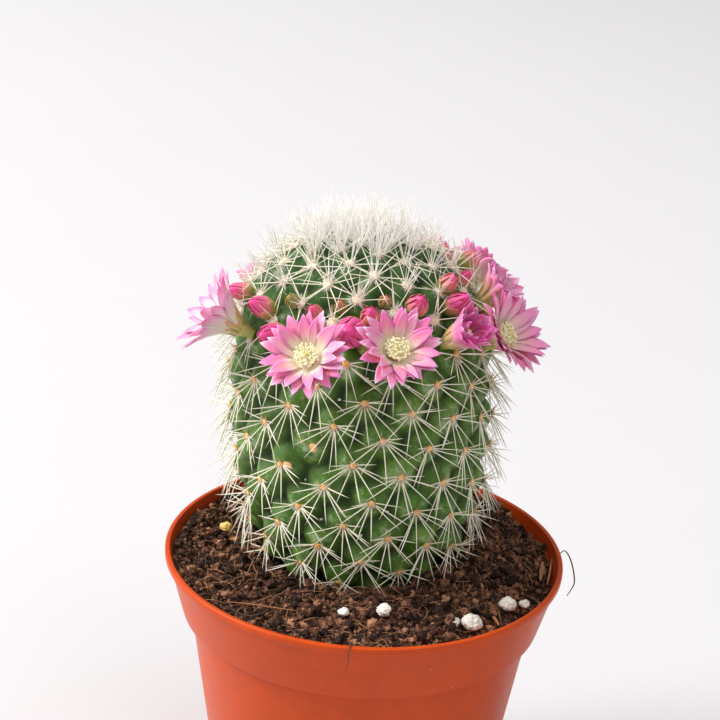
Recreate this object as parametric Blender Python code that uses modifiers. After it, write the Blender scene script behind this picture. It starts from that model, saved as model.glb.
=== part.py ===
"""A round cactus in flower in a plastic nursery pot, with its soil, buds and the crumbs on the soil.

Metres, +Z up. The origin is the centre of the pot's foot. The cactus leans a little towards -X, so
everything that grows on it is modelled in the plant's own frame, whose Z is the axis of the stem
and whose zero height is level with the pot's rim.
"""
import math
from typing import NamedTuple

import bmesh
import bpy
import numpy as np
from mathutils import Euler, Matrix, Vector, noise
from mathutils.bvhtree import BVHTree

MM = 0.001
GAP = 0.3 * MM  # clearance between pieces that touch

# Pot: an 8.5 cm nursery pot
POT_HEIGHT = 72 * MM
RIM_RADIUS = 42.5 * MM
LIP_HEIGHT = 1.5 * MM
COLLAR_TOP_RADIUS = 41.6 * MM
COLLAR_FOOT_RADIUS = 38.4 * MM
COLLAR_HEIGHT = 13.8 * MM
COLLAR_FOOT = POT_HEIGHT - COLLAR_HEIGHT
WALL_TOP_RADIUS = 36.7 * MM
WALL_TAPER = 0.157
WALL = 1.0 * MM
FLOOR = 1.2 * MM
FOOT_HEIGHT = 2.0 * MM  # the floor stands this far above the foot ring
FOOT_WIDTH = 2.2 * MM
DRAIN_HOLES = 6
DRAIN_RADIUS = 2.4 * MM
DRAIN_CIRCLE = 17 * MM
POT_STEPS = 48

# Soil: it is lowest at the wall and rises to the level it would have on the axis of the stem
SOIL_AT_WALL = POT_HEIGHT - 2.6 * MM
SOIL_AT_STEM = POT_HEIGHT + 2.0 * MM
SOIL_ROUGHNESS = 0.7 * MM
SOIL_FALL = 0.027  # slope down towards +X
SOIL_STEPS = 40

# Stem: a barrel of two superellipses that meet at its widest height
PLANT_FOOT = Vector((-0.8, 4.5, 0)) * MM
PLANT_LEAN = math.radians(-3.6)
STEM_RADIUS = 27.7 * MM
STEM_WIDEST = 31 * MM
STEM_TOP = 68.8 * MM
STEM_BOTTOM = -21.2 * MM
TOP_POWERS = (3.10, 2.14)
BOTTOM_POWERS = (2.12, 1.57)
ROOT_RINGS = ((-8 * MM, 10), (-14.5 * MM, 8), (-19.5 * MM, 6))  # height, points round it

# Tubercles: one to each areole of a golden-angle spiral that starts at the crown
GOLDEN_ANGLE = math.pi * (3 - math.sqrt(5))
FIRST_AZIMUTH = math.radians(37.7)
APEX_CELL = 8 * MM**2  # skin to each tubercle at the crown
BODY_CELL = 76 * MM**2  # and far down the side
CELL_REACH = 23.5 * MM
AREOLES = 204
TUBERCLE_PITCH = 8.6 * MM
PIT_DEPTH = 4.2 * MM
LOWEST_PIT = -4 * MM
SADDLE_DEPTH = 2.9 * MM
PAD_PERCENT = 26  # of the way from a tip to the saddles round it
SPIKE_LENGTH = 4.4 * MM
SPIKE_LEAN = math.radians(50)
SPIKE_ROOM = 4.6 * MM  # to a flower or a bud
LOWEST_SPIKE = 8 * MM

# Flowers
PETALS = 10
THROAT_RADIUS = 2.7 * MM
TUBE_FOOT_RADIUS = 1.1 * MM
TUBE_DEPTH = 2.8 * MM  # how deep in its axil a tube or a bud begins
PETAL_THICKNESS = 0.5 * MM
STAMEN_RADIUS = 1.9 * MM


class Flower(NamedTuple):
    """Head and foot in the plant's frame: azimuth in degrees, radius and height in mm."""
    head: tuple
    foot: tuple
    facing: tuple  # azimuth and elevation of the mouth, in degrees
    petal: float  # mm
    spread: float  # degrees between a petal and the flower's axis


class Bud(NamedTuple):
    """Centre in the plant's frame: azimuth in degrees, radius and height in mm."""
    centre: tuple
    facing: tuple
    length: float
    width: float


FLOWERS = (
    Flower((-17, 31.2, 53.9), (-18, 23.8, 48.0), (-14, 39), 6.6, 66),
    Flower((15, 30.5, 55.1), (13, 23.9, 48.5), (24, 45), 6.5, 63),
    Flower((44, 28.9, 55.0), (44, 23.0, 50.8), (58, 34), 5.6, 19),
    Flower((67, 31.6, 51.7), (72, 24.1, 46.5), (60, 33), 7.4, 56),
    Flower((82, 27.4, 57.8), (84, 22.0, 53.0), (88, 43), 5.0, 32),
    Flower((118, 26.8, 56.0), (114, 22.9, 50.8), (128, 43), 5.8, 38),
    Flower((148, 28.6, 53.6), (148, 23.5, 49.5), (150, 36), 5.8, 56),
    Flower((178, 29.0, 54.2), (178, 23.5, 49.5), (180, 38), 5.8, 54),
    Flower((-154, 28.6, 53.0), (-154, 23.5, 49.0), (-152, 36), 5.6, 56),
    Flower((-127, 27.8, 53.2), (-127, 23.9, 48.0), (-128, 46), 3.6, 8),
    Flower((-60, 29.6, 55.6), (-50, 23.0, 51.0), (-86, 35), 9.0, 44),
)

BUDS = (
    Bud((-3, 26.0, 57.8), (-12, 20), 7.0, 5.4),
    Bud((-39, 27.4, 55.2), (-42, 12), 6.4, 4.4),
    Bud((-50, 24.8, 59.2), (-62, 30), 6.0, 3.8),
    Bud((-79, 25.0, 58.4), (-78, 15), 5.8, 3.4),
    Bud((-36, 21.6, 60.8), (-30, 45), 3.2, 2.7),
    Bud((-22, 22.6, 60.0), (-18, 45), 4.2, 3.2),
    Bud((-9, 21.2, 62.0), (-8, 50), 3.0, 2.5),
    Bud((7, 23.2, 60.6), (2, 52), 4.6, 3.8),
    Bud((16, 20.6, 62.0), (14, 50), 3.0, 2.4),
    Bud((33, 22.6, 61.2), (28, 47), 5.2, 4.3),
    Bud((30, 25.4, 57.4), (28, 40), 4.6, 3.2),
    Bud((57, 21.2, 62.2), (50, 50), 4.6, 3.6),
    Bud((56, 25.2, 60.2), (56, 36), 6.2, 3.8),
    Bud((82, 22.4, 61.6), (76, 49), 4.4, 2.9),
    Bud((178, 22.4, 61.4), (178, 50), 4.2, 3.0),
    Bud((90, 26.8, 52.4), (80, 30), 4.0, 2.6),
    Bud((4, 25.4, 54.4), (2, 40), 3.6, 2.4),
    Bud((105, 22.4, 61.0), (106, 45), 4.6, 3.4),
    Bud((134, 23.4, 60.0), (134, 45), 5.0, 3.8),
    Bud((164, 23.0, 60.4), (164, 45), 4.6, 3.4),
    Bud((-168, 24.0, 60.0), (-168, 45), 5.4, 4.0),
    Bud((-140, 23.0, 60.0), (-140, 45), 4.6, 3.4),
)

# Crumbs on the soil: x and y from the pot's axis and the size in mm
PERLITE = ((22.5, -28.3, 3.9), (19.0, -28.0, 2.4), (30.1, -19.9, 3.6), (33.6, -17.8, 2.3),
           (4.8, -27.9, 3.0), (-3.3, -29.2, 2.2), (-30.1, 4.2, 2.4))
# and turn in degrees about Z
SLIVERS = ((27.2, -24.2, 5.5, -72), (-20.0, -28.2, 14.0, -6), (38.0, -1.5, 9.0, 84))



def principled(name, colour, roughness, subsurface=0.0):
    material = bpy.data.materials.new(name)
    material.use_nodes = True
    shader = material.node_tree.nodes["Principled BSDF"]
    shader.inputs["Base Color"].default_value = (*colour, 1)
    shader.inputs["Roughness"].default_value = roughness
    shader.inputs["Metallic"].default_value = 0.0
    shader.inputs["Subsurface Weight"].default_value = subsurface
    material.diffuse_color = (*colour, 1)
    return material


def collection(name):
    made = bpy.data.collections.new(name)
    bpy.context.scene.collection.children.link(made)
    return made


def mesh_object(name, bm, group, material=None, parent=None):
    """The object of a finished bmesh, which is freed."""
    mesh = bpy.data.meshes.new(name)
    bm.to_mesh(mesh)
    bm.free()
    made = bpy.data.objects.new(name, mesh)
    made.parent = parent
    if material:
        mesh.materials.append(material)
    group.objects.link(made)
    return made


def turned(name, profile, steps, group, material=None, parent=None):
    """A solid of revolution about its Z, from (radius, height) points that run down its outer side."""
    bm = bmesh.new()
    points = [bm.verts.new((radius, 0, height)) for radius, height in profile]
    for first, second in zip(points, points[1:]):
        bm.edges.new((first, second))
    made = mesh_object(name, bm, group, material, parent)
    screw = made.modifiers.new("Turn", "SCREW")
    screw.steps = steps
    screw.render_steps = steps
    screw.use_merge_vertices = True
    screw.merge_threshold = 0.00001
    return made


def cut(target, cutter):
    cutter.hide_render = True
    cutter.display_type = "WIRE"
    boolean = target.modifiers.new(cutter.name, "BOOLEAN")
    boolean.operation = "DIFFERENCE"
    boolean.solver = "EXACT"
    boolean.object = cutter


def smooth(target, angle=40):
    target.data.shade_smooth()
    target.data.set_sharp_from_angle(angle=math.radians(angle))


def evaluated_bmesh(target):
    """The mesh of an object as its modifiers leave it, in world space."""
    graph = bpy.context.evaluated_depsgraph_get()
    bm = bmesh.new()
    bm.from_object(target, graph)
    bm.transform(target.matrix_world)
    return bm


# ---------------------------------------------------------------- the shape of the stem

def stem_radius(height, swell=0.0):
    """Radius of the envelope that the tips of the tubercles lie on."""
    if height > STEM_WIDEST:
        reach, (inner, outer) = STEM_TOP - STEM_WIDEST, TOP_POWERS
    else:
        reach, (inner, outer) = STEM_WIDEST - STEM_BOTTOM, BOTTOM_POWERS
    along = min(abs(height - STEM_WIDEST) / reach, 1)
    return (STEM_RADIUS + swell) * (1 - along**inner) ** (1 / outer)


def on_plant(azimuth, radius, height):
    """A point of the plant's frame: azimuth 0 is the side towards -Y, and +X is at 90 degrees."""
    return Vector((radius * math.sin(azimuth), -radius * math.cos(azimuth), height))


def from_degrees(azimuth, radius, height):
    return on_plant(math.radians(azimuth), radius * MM, height * MM)


def facing_direction(azimuth, elevation):
    lift = math.radians(elevation)
    return on_plant(math.radians(azimuth), math.cos(lift), math.sin(lift))


def surface_normal(point):
    """Outward direction of the envelope at a point on it or near it."""
    step = 0.05 * MM
    height = min(max(point.z, STEM_BOTTOM + 2 * step), STEM_TOP - 2 * step)
    slope = (stem_radius(height + step) - stem_radius(height - step)) / (2 * step)
    flat = Vector((point.x, point.y, 0))
    return (flat.normalized() - Vector((0, 0, slope))).normalized()


def areole_points():
    """Areoles at equal counts of skin cells from the crown down, each a golden angle on."""
    fraction = np.linspace(0, 1, 4000)
    heights = STEM_TOP - (STEM_TOP - STEM_BOTTOM) * fraction**2
    radii = np.array([stem_radius(height) for height in heights])
    steps = np.hypot(np.diff(heights), np.diff(radii))
    arc = np.concatenate([[0], np.cumsum(steps)])
    cell = BODY_CELL - (BODY_CELL - APEX_CELL) * np.exp(-arc / CELL_REACH)
    skin = math.pi * (radii[1:] + radii[:-1]) * steps
    count = np.concatenate([[0], np.cumsum(2 * skin / (cell[1:] + cell[:-1]))])
    points = []
    for index in range(1, AREOLES + 1):
        height = float(np.interp(index, count, heights))
        azimuth = FIRST_AZIMUTH + GOLDEN_ANGLE * index
        points.append(on_plant(azimuth, stem_radius(height), height))
    return points


def distance_to_line(point, start, end):
    along = (point - start).dot(end - start) / (end - start).length_squared
    return (point - start.lerp(end, min(max(along, 0), 1))).length


def spikes_fit(pad):
    """Whether the spines of an areole have room between the soil, the flowers and the buds."""
    if pad.z < LOWEST_SPIKE:
        return False
    for flower in FLOWERS:
        head = from_degrees(*flower.head)
        if distance_to_line(pad, from_degrees(*flower.foot), head) < THROAT_RADIUS + SPIKE_ROOM:
            return False
        if (pad - head).length < flower.petal * MM + SPIKE_ROOM:
            return False
    return all((pad - from_degrees(*bud.centre)).length > bud.length * MM / 2 + SPIKE_ROOM
               for bud in BUDS)


def relative_size(vertex, part):
    """Length of its shortest edge against that part of the full spacing of the tubercles, up to 1."""
    shortest = min(edge.calc_length() for edge in vertex.link_edges)
    return min(shortest / (part * TUBERCLE_PITCH), 1)


def build_stem(group, plant):
    """The hull of the areoles, with its edges and faces sunk between them and a pad on each tip."""
    bm = bmesh.new()
    for point in areole_points():
        bm.verts.new(point)
    for height, count in ROOT_RINGS:
        for index in range(count):
            azimuth = math.tau * (index + height / MM) / count
            bm.verts.new(on_plant(azimuth, stem_radius(height), height))
    bmesh.ops.convex_hull(bm, input=bm.verts)
    edges = [edge for edge in bm.edges if max(end.co.z for end in edge.verts) > LOWEST_PIT]
    split = bmesh.ops.subdivide_edges(bm, edges=edges, cuts=1, use_grid_fill=True)["geom_inner"]
    saddles = {piece for piece in split if isinstance(piece, bmesh.types.BMVert)}
    tips = [vertex for vertex in bm.verts if vertex not in saddles and vertex.co.z > LOWEST_PIT]
    depths = {vertex: SADDLE_DEPTH * relative_size(vertex, 0.5) for vertex in saddles}
    middles = [face for face in bm.faces if saddles.issuperset(face.verts)
               and face.calc_center_median().z > LOWEST_PIT]
    for vertex in bmesh.ops.poke(bm, faces=middles)["verts"]:
        depths[vertex] = PIT_DEPTH * relative_size(vertex, 0.28)
    for vertex, depth in depths.items():
        vertex.co -= surface_normal(vertex.co) * depth
    add_pads(bm, tips)
    stem = mesh_object("stem", bm, group, principled("cactus_skin", (0.06, 0.17, 0.05), 0.4), plant)
    smooth(stem, 30)
    return stem


def add_pads(bm, tips):
    """Each tip becomes a small facet, and a star of short spikes rises from the ones with room."""
    bmesh.ops.bevel(bm, geom=tips, offset=PAD_PERCENT, offset_type="PERCENT", affect="VERTICES",
                    segments=1)
    pads = [face for face in bm.faces if len(face.verts) > 4]
    for pad in pads:
        centre = pad.calc_center_median()
        if not spikes_fit(centre):
            continue
        size = min((corner.co - centre).length for corner in pad.verts) / (1.1 * MM)
        lean = SPIKE_LEAN * min(size, 1) ** 2
        outward = surface_normal(centre)
        for wedge in bmesh.ops.poke(bm, faces=[pad])["faces"]:
            sideways = wedge.calc_center_median() - centre
            sideways = (sideways - outward * sideways.dot(outward)).normalized()
            point = bmesh.ops.poke(bm, faces=[wedge])["verts"][0]
            point.co += (outward * math.cos(lean) + sideways * math.sin(lean)) * SPIKE_LENGTH


# ---------------------------------------------------------------- flowers and buds

def head_matrix(place, direction):
    turn = direction.to_track_quat("Z", "Y")
    return Matrix.Translation(place) @ turn.to_matrix().to_4x4()


def ring_on(verts, even, odd, centre=Vector()):
    """Moves a ring of vertices to (radius, height), one pair for even and one for odd places."""
    step = math.tau / len(verts)
    for vertex in verts:
        angle = math.atan2(vertex.co.y, vertex.co.x) % math.tau
        place = round(angle / step) % len(verts)
        radius, height = even if place % 2 == 0 else odd
        vertex.co = (radius * math.cos(place * step), radius * math.sin(place * step), height)
        vertex.co += centre


def corolla_bmesh(flower, foot):
    """A tube from foot to a throat at the origin, and a star of petals that open from it along Z."""
    spread = math.radians(flower.spread)
    petal = flower.petal * MM

    def along_petal(part, lift=0.0):
        radius = THROAT_RADIUS + petal * part * math.sin(spread) - lift * math.cos(spread)
        return radius, petal * part * math.cos(spread) + lift * math.sin(spread)

    belly = along_petal(0.45, -PETAL_THICKNESS)
    rings = (
        ((THROAT_RADIUS, 0),) * 2,
        (belly, belly),
        (along_petal(1.0), along_petal(0.6)),
        ((THROAT_RADIUS - PETAL_THICKNESS, 0.3 * MM),) * 2,
        ((THROAT_RADIUS - PETAL_THICKNESS - 0.1 * MM, -1.6 * MM),) * 2,
    )
    bm = bmesh.new()
    made = bmesh.ops.create_circle(bm, cap_ends=True, segments=2 * PETALS, radius=TUBE_FOOT_RADIUS)
    for vertex in made["verts"]:
        vertex.co += foot
    edges = bm.edges[:]
    centre = foot
    for even, odd in rings:
        extruded = bmesh.ops.extrude_edge_only(bm, edges=edges)["geom"]
        verts = [piece for piece in extruded if isinstance(piece, bmesh.types.BMVert)]
        edges = [piece for piece in extruded if isinstance(piece, bmesh.types.BMEdge)
                 and all(vertex in verts for vertex in piece.verts)]
        for vertex in verts:
            vertex.co -= centre
        ring_on(verts, even, odd)
        centre = Vector()
    bmesh.ops.contextual_create(bm, geom=edges)
    bmesh.ops.recalc_face_normals(bm, faces=bm.faces)
    return bm


def clearance(bm, other_tree, other_points):
    """Smallest distance between a mesh and another one, or 0 where they cross."""
    tree = BVHTree.FromBMesh(bm)
    if tree.overlap(other_tree):
        return 0.0
    near = [other_tree.find_nearest(vertex.co)[3] for vertex in bm.verts]
    near += [tree.find_nearest(point)[3] for point in other_points]
    return min(near)


def build_flower(index, flower, group, plant, stem_tree, stem_points):
    """A corolla whose tube ends just clear of its axil, and the tuft of stamens in its throat."""
    place = head_matrix(from_degrees(*flower.head), facing_direction(*flower.facing))
    foot = place.inverted() @ from_degrees(*flower.foot)
    near_points = [point for point in stem_points
                   if (point - place.translation).length < 20 * MM]
    for step in range(30):
        bm = corolla_bmesh(flower, foot * (1 - 0.02 * step))
        bmesh.ops.transform(bm, matrix=place, verts=bm.verts)
        if clearance(bm, stem_tree, near_points) >= GAP:
            break
        bm.free()
    pink = principled(f"petals_{index}", (0.75, 0.17, 0.42), 0.45, 0.1)
    corolla = mesh_object(f"flower_{index:02d}", bm, group, pink, plant)
    smooth(corolla, 50)
    bm = bmesh.new()
    bmesh.ops.create_uvsphere(bm, u_segments=8, v_segments=5, radius=STAMEN_RADIUS)
    for vertex in bm.verts:
        vertex.co.z *= 1.1 if vertex.co.z > 0 else 0.5
    bmesh.ops.translate(bm, vec=(0, 0, 0.4 * MM), verts=bm.verts)
    cream = principled(f"anthers_{index}", (0.9, 0.8, 0.45), 0.6)
    stamens = mesh_object(f"stamens_{index:02d}", bm, group, cream, plant)
    stamens.matrix_local = place
    smooth(stamens)


def bud_bmesh(bud, place):
    bm = bmesh.new()
    bmesh.ops.create_uvsphere(bm, u_segments=8, v_segments=5, radius=1)
    half_width, half_length = bud.width * MM / 2, bud.length * MM / 2
    for vertex in bm.verts:
        narrow = 1 - 0.18 * vertex.co.z
        vertex.co.x *= half_width * narrow
        vertex.co.y *= half_width * narrow
        vertex.co.z *= half_length * (1.25 if vertex.co.z > 0.99 else 1)
    bmesh.ops.transform(bm, matrix=place, verts=bm.verts)
    return bm


def build_bud(index, bud, group, plant, stem_tree, stem_points):
    """A closed bud, slid along its axis until it stands just clear of the stem."""
    direction = facing_direction(*bud.facing)
    centre = from_degrees(*bud.centre) - direction * TUBE_DEPTH
    near_points = [point for point in stem_points if (point - centre).length < 12 * MM]
    for step in range(80):
        bm = bud_bmesh(bud, head_matrix(centre + direction * 0.1 * MM * step, direction))
        if clearance(bm, stem_tree, near_points) >= GAP:
            break
        bm.free()
    rose = principled(f"bud_{index}", (0.62, 0.10, 0.22), 0.45, 0.1)
    smooth(mesh_object(f"bud_{index:02d}", bm, group, rose, plant), 60)


# ---------------------------------------------------------------- pot, soil and crumbs

def wall_radius(height):
    """Outer radius of the wall under the collar."""
    return WALL_TOP_RADIUS - WALL_TAPER * (COLLAR_FOOT - height)


def build_pot(group, cutters):
    """A turned pot with a collar, a raised floor inside its foot ring and drain holes."""
    floor_top = FOOT_HEIGHT + FLOOR
    foot = wall_radius(0)
    inside_floor = wall_radius(floor_top) - WALL
    profile = (
        (0, floor_top),
        (inside_floor - 1 * MM, floor_top),
        (inside_floor, floor_top + 1 * MM),
        (wall_radius(COLLAR_FOOT) - WALL, COLLAR_FOOT + 0.4 * MM),
        (COLLAR_FOOT_RADIUS - WALL, COLLAR_FOOT + 2.2 * MM),
        (COLLAR_TOP_RADIUS - WALL, POT_HEIGHT - 0.5 * MM),
        (COLLAR_TOP_RADIUS - WALL + 0.4 * MM, POT_HEIGHT),
        (RIM_RADIUS - 0.5 * MM, POT_HEIGHT),
        (RIM_RADIUS, POT_HEIGHT - 0.5 * MM),
        (RIM_RADIUS, POT_HEIGHT - LIP_HEIGHT + 0.3 * MM),
        (COLLAR_TOP_RADIUS, POT_HEIGHT - LIP_HEIGHT),
        (COLLAR_FOOT_RADIUS, COLLAR_FOOT + 0.4 * MM),
        (COLLAR_FOOT_RADIUS - 0.4 * MM, COLLAR_FOOT),
        (wall_radius(COLLAR_FOOT), COLLAR_FOOT),
        (foot, 0.6 * MM),
        (foot - 0.6 * MM, 0),
        (foot - FOOT_WIDTH, 0),
        (foot - FOOT_WIDTH - 0.8 * MM, FOOT_HEIGHT),
        (0, FOOT_HEIGHT),
    )
    terracotta = principled("terracotta_plastic", (0.60, 0.13, 0.045), 0.38)
    pot = turned("pot", profile, POT_STEPS, group, terracotta)
    for index in range(DRAIN_HOLES):
        angle = math.tau * (index + 0.5) / DRAIN_HOLES
        bm = bmesh.new()
        bmesh.ops.create_cone(bm, cap_ends=True, segments=12, radius1=DRAIN_RADIUS,
                              radius2=DRAIN_RADIUS, depth=3 * FLOOR)
        drain = mesh_object(f"drain_cutter_{index}", bm, cutters)
        drain.location = (DRAIN_CIRCLE * math.cos(angle), DRAIN_CIRCLE * math.sin(angle),
                          FOOT_HEIGHT + FLOOR / 2)
        cut(pot, drain)
    smooth(pot)
    return pot


def build_soil(group, cutters, plant):
    """The filling of the pot, with a lumpy top, cut to the underground part of the stem."""
    bottom = FOOT_HEIGHT + FLOOR + GAP
    slope = (COLLAR_TOP_RADIUS - COLLAR_FOOT_RADIUS) / COLLAR_HEIGHT
    top_radius = COLLAR_FOOT_RADIUS - WALL - GAP + slope * (SOIL_AT_WALL - COLLAR_FOOT - 2.4 * MM)
    rings = 5
    profile = [(0, SOIL_AT_STEM)]
    for index in range(1, rings + 1):
        part = index / rings
        profile.append((top_radius * part, SOIL_AT_STEM + (SOIL_AT_WALL - SOIL_AT_STEM) * part**1.6))
    profile += [
        (COLLAR_FOOT_RADIUS - WALL - 1.2 * GAP, COLLAR_FOOT + 2.4 * MM),
        (wall_radius(COLLAR_FOOT) - WALL - 1.2 * GAP, COLLAR_FOOT),
        (wall_radius(bottom) - WALL - 1.6 * MM, bottom),
        (0, bottom),
    ]
    peat = principled("peat", (0.055, 0.028, 0.017), 0.95)
    soil = turned("soil", profile, SOIL_STEPS, group, peat)
    surface = soil.vertex_groups.new(name="surface")
    surface.add(list(range(rings)), 1.0, "REPLACE")
    texture = bpy.data.textures.new("soil_lumps", "CLOUDS")
    texture.noise_scale = 7 * MM
    top = soil.modifiers.new("Lumps", "DISPLACE")
    top.texture = texture
    top.direction = "Z"
    top.strength = 2 * SOIL_ROUGHNESS
    top.texture_coords = "GLOBAL"
    top.vertex_group = surface.name
    gradient = bpy.data.textures.new("soil_fall", "BLEND")
    fall = soil.modifiers.new("Fall", "DISPLACE")
    fall.texture = gradient
    fall.direction = "Z"
    fall.strength = -2 * SOIL_FALL
    fall.texture_coords = "GLOBAL"
    fall.vertex_group = surface.name
    shaft = []
    for height in np.linspace(12 * MM, STEM_BOTTOM + 1 * MM, 12):
        wall = Vector((stem_radius(height), 0, height))
        wall += surface_normal(wall) * 1.6 * GAP
        shaft.append((wall.x, wall.z))
    shaft = [(0, shaft[0][1])] + shaft + [(0, STEM_BOTTOM - 0.6 * MM)]
    cut(soil, turned("stem_cutter", shaft, SOIL_STEPS, cutters, parent=plant))
    return soil


def settle(bm, ground):
    """Lowers a mesh until the smallest upright gap between it and the ground is the clearance."""
    down, up = Vector((0, 0, -1)), Vector((0, 0, 1))
    tree = BVHTree.FromBMesh(bm)
    ground_tree = BVHTree.FromBMesh(ground)
    gaps = [ground_tree.ray_cast(vertex.co, down)[3] for vertex in bm.verts]
    gaps += [tree.ray_cast(vertex.co, up)[3] for vertex in ground.verts]
    drop = min(gap for gap in gaps if gap is not None) - GAP
    bmesh.ops.translate(bm, vec=(0, 0, -drop), verts=bm.verts)


def build_crumbs(group, ground):
    for index, (x, y, size) in enumerate(PERLITE, 1):
        bm = bmesh.new()
        bmesh.ops.create_icosphere(bm, subdivisions=2, radius=size * MM / 2)
        for vertex in bm.verts:
            bump = noise.noise(vertex.co / (1.2 * MM) + Vector((index * 7.3, 0, 0)))
            vertex.co *= 1 + 0.22 * bump
            vertex.co.z *= 0.75
        bmesh.ops.translate(bm, vec=Vector((x, y, 0)) * MM + Vector((0, 0, POT_HEIGHT + 0.01)),
                            verts=bm.verts)
        settle(bm, ground)
        white = principled(f"perlite_{index}", (0.82, 0.79, 0.74), 0.9)
        mesh_object(f"perlite_{index}", bm, group, white)
    for index, (x, y, length, turn) in enumerate(SLIVERS, 1):
        bm = bmesh.new()
        bmesh.ops.create_cube(bm, size=1)
        bmesh.ops.scale(bm, vec=Vector((length, 1.1, 0.6)) * MM, verts=bm.verts)
        across = [edge for edge in bm.edges if abs(edge.verts[0].co.x - edge.verts[1].co.x) > MM]
        bmesh.ops.bevel(bm, geom=across, offset=0.15 * MM, affect="EDGES", segments=1)
        place = Matrix.Translation(Vector((x, y, 0)) * MM + Vector((0, 0, POT_HEIGHT + 0.01)))
        turned_by = Euler((0, 0, math.radians(turn))).to_matrix().to_4x4()
        bmesh.ops.transform(bm, matrix=place @ turned_by, verts=bm.verts)
        settle(bm, ground)
        wood = principled(f"wood_{index}", (0.30, 0.13, 0.05), 0.8)
        mesh_object(f"wood_sliver_{index}", bm, group, wood)


def main():
    for obj in list(bpy.data.objects):
        bpy.data.objects.remove(obj, do_unlink=True)
    bpy.context.scene.unit_settings.system = "METRIC"
    group = collection("potted_round_cactus")
    cutters = collection("cutters")
    plant = bpy.data.objects.new("plant_frame", None)
    plant.location = PLANT_FOOT + Vector((0, 0, POT_HEIGHT))
    plant.rotation_euler = (0, PLANT_LEAN, 0)
    group.objects.link(plant)

    build_pot(group, cutters)
    soil = build_soil(group, cutters, plant)
    stem = build_stem(group, plant)
    stem_bm = bmesh.new()
    stem_bm.from_mesh(stem.data)
    stem_tree = BVHTree.FromBMesh(stem_bm)
    stem_points = [vertex.co.copy() for vertex in stem_bm.verts if vertex.co.z > 30 * MM]
    stem_bm.free()
    for index, flower in enumerate(FLOWERS, 1):
        build_flower(index, flower, group, plant, stem_tree, stem_points)
    for index, bud in enumerate(BUDS, 1):
        build_bud(index, bud, group, plant, stem_tree, stem_points)
    bpy.context.view_layer.update()
    ground = evaluated_bmesh(soil)
    build_crumbs(group, ground)
    ground.free()


if __name__ == "__main__":
    main()
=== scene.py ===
"""Looks of a round cactus in flower, in its nursery pot, laid out as an add-on with one operator a piece.

Metres throughout. What grows is worked out in the plant's own frame, whose Z is the axis of the
stem and whose zero height is level with the pot's rim, and is then placed by one matrix.
"""
import math

import bmesh
import bpy
import numpy as np
from bpy.props import FloatProperty, FloatVectorProperty, IntProperty, PointerProperty
from bpy.types import Operator, Panel, PropertyGroup
from mathutils import Matrix, Vector, noise
from mathutils.bvhtree import BVHTree


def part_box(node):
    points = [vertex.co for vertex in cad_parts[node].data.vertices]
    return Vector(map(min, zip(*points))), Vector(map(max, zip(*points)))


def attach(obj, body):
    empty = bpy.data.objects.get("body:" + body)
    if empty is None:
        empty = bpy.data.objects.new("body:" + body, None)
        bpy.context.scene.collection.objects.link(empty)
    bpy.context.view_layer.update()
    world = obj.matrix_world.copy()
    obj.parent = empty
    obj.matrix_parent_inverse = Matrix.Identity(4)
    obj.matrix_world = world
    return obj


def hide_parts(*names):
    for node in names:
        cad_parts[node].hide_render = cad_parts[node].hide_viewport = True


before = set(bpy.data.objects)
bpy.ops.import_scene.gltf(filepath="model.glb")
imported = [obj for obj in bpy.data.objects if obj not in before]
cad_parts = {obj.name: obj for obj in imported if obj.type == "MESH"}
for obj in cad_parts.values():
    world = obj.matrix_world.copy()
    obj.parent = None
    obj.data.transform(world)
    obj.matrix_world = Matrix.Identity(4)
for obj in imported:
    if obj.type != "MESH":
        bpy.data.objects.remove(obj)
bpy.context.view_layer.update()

bl_info = {
    "name": "Potted round cactus",
    "version": (1, 0, 0),
    "blender": (4, 5, 0),
    "location": "View3D > Sidebar > Cactus",
    "description": "Builds the finished pieces of a small flowering cactus around its packed model",
    "category": "Object",
}

MM = 0.001
BODY = "root"
POT_RADIUS = float(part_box("pot")[1].x)
POT_TOP = float(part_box("pot")[1].z)

# Frame of the plant: where its axis meets the level of the rim, and its lean
PLANT_LEAN = math.radians(-3.6)
PLANT = Matrix.Translation((-0.8 * MM, 4.5 * MM, POT_TOP)) @ Matrix.Rotation(PLANT_LEAN, 4, "Y")
PLANT_TURN = np.array(PLANT.to_3x3())
PLANT_PLACE = np.array(PLANT.translation)

# Stem: a barrel of two superellipses that meet at its widest height
STEM_RADIUS = 27.7 * MM
STEM_WIDEST = 31 * MM
STEM_TOP = 68.8 * MM
STEM_BOTTOM = -21.2 * MM
TOP_POWERS = (3.10, 2.14)
BOTTOM_POWERS = (2.12, 1.57)

# Areoles: a golden-angle spiral from the crown down, one to each cell of skin
GOLDEN_ANGLE = math.pi * (3 - math.sqrt(5))
FIRST_AZIMUTH = math.radians(37.7)
APEX_CELL = 8 * MM**2
BODY_CELL = 76 * MM**2
CELL_REACH = 23.5 * MM
AREOLES = 204
SCARS = (120,)  # numbers of the areoles that have lost their spines
SCAR_BESIDE = 132  # place in the spiral of the areole that the second scar lies beside
SCAR_ASIDE = 1.8 * MM
BRUSH_FROM = 66.75 * MM  # the areoles higher than this carry the brush of the crown
BRUSH_TOP = 75.6 * MM

# Flowers, in the order of their CAD nodes: how deep the pink is and how pale the inner petals are. The
# paleness is partly the petals' own paler colour and partly painted highlight: flower 11, on the left, has
# its inner petals painted almost white where the light washes them out
FLOWER_DEPTH = (0.0, 0.08, 1.0, 0.3, 0.45, 0.4, 0.1, 0.2, 0.05, 0.45, 0.1)
FLOWER_PALENESS_AND_HIGHLIGHT = (0.0, 0.0, 0.0, 0.2, 0.35, 0.35, 0.0, 0.1, 0.0, 0.6, 0.95)
THROAT = 2.7 * MM
TUFT_LIFT = 0.75 * MM  # from a throat's centre to the middle of its tuft of stamens
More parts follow.
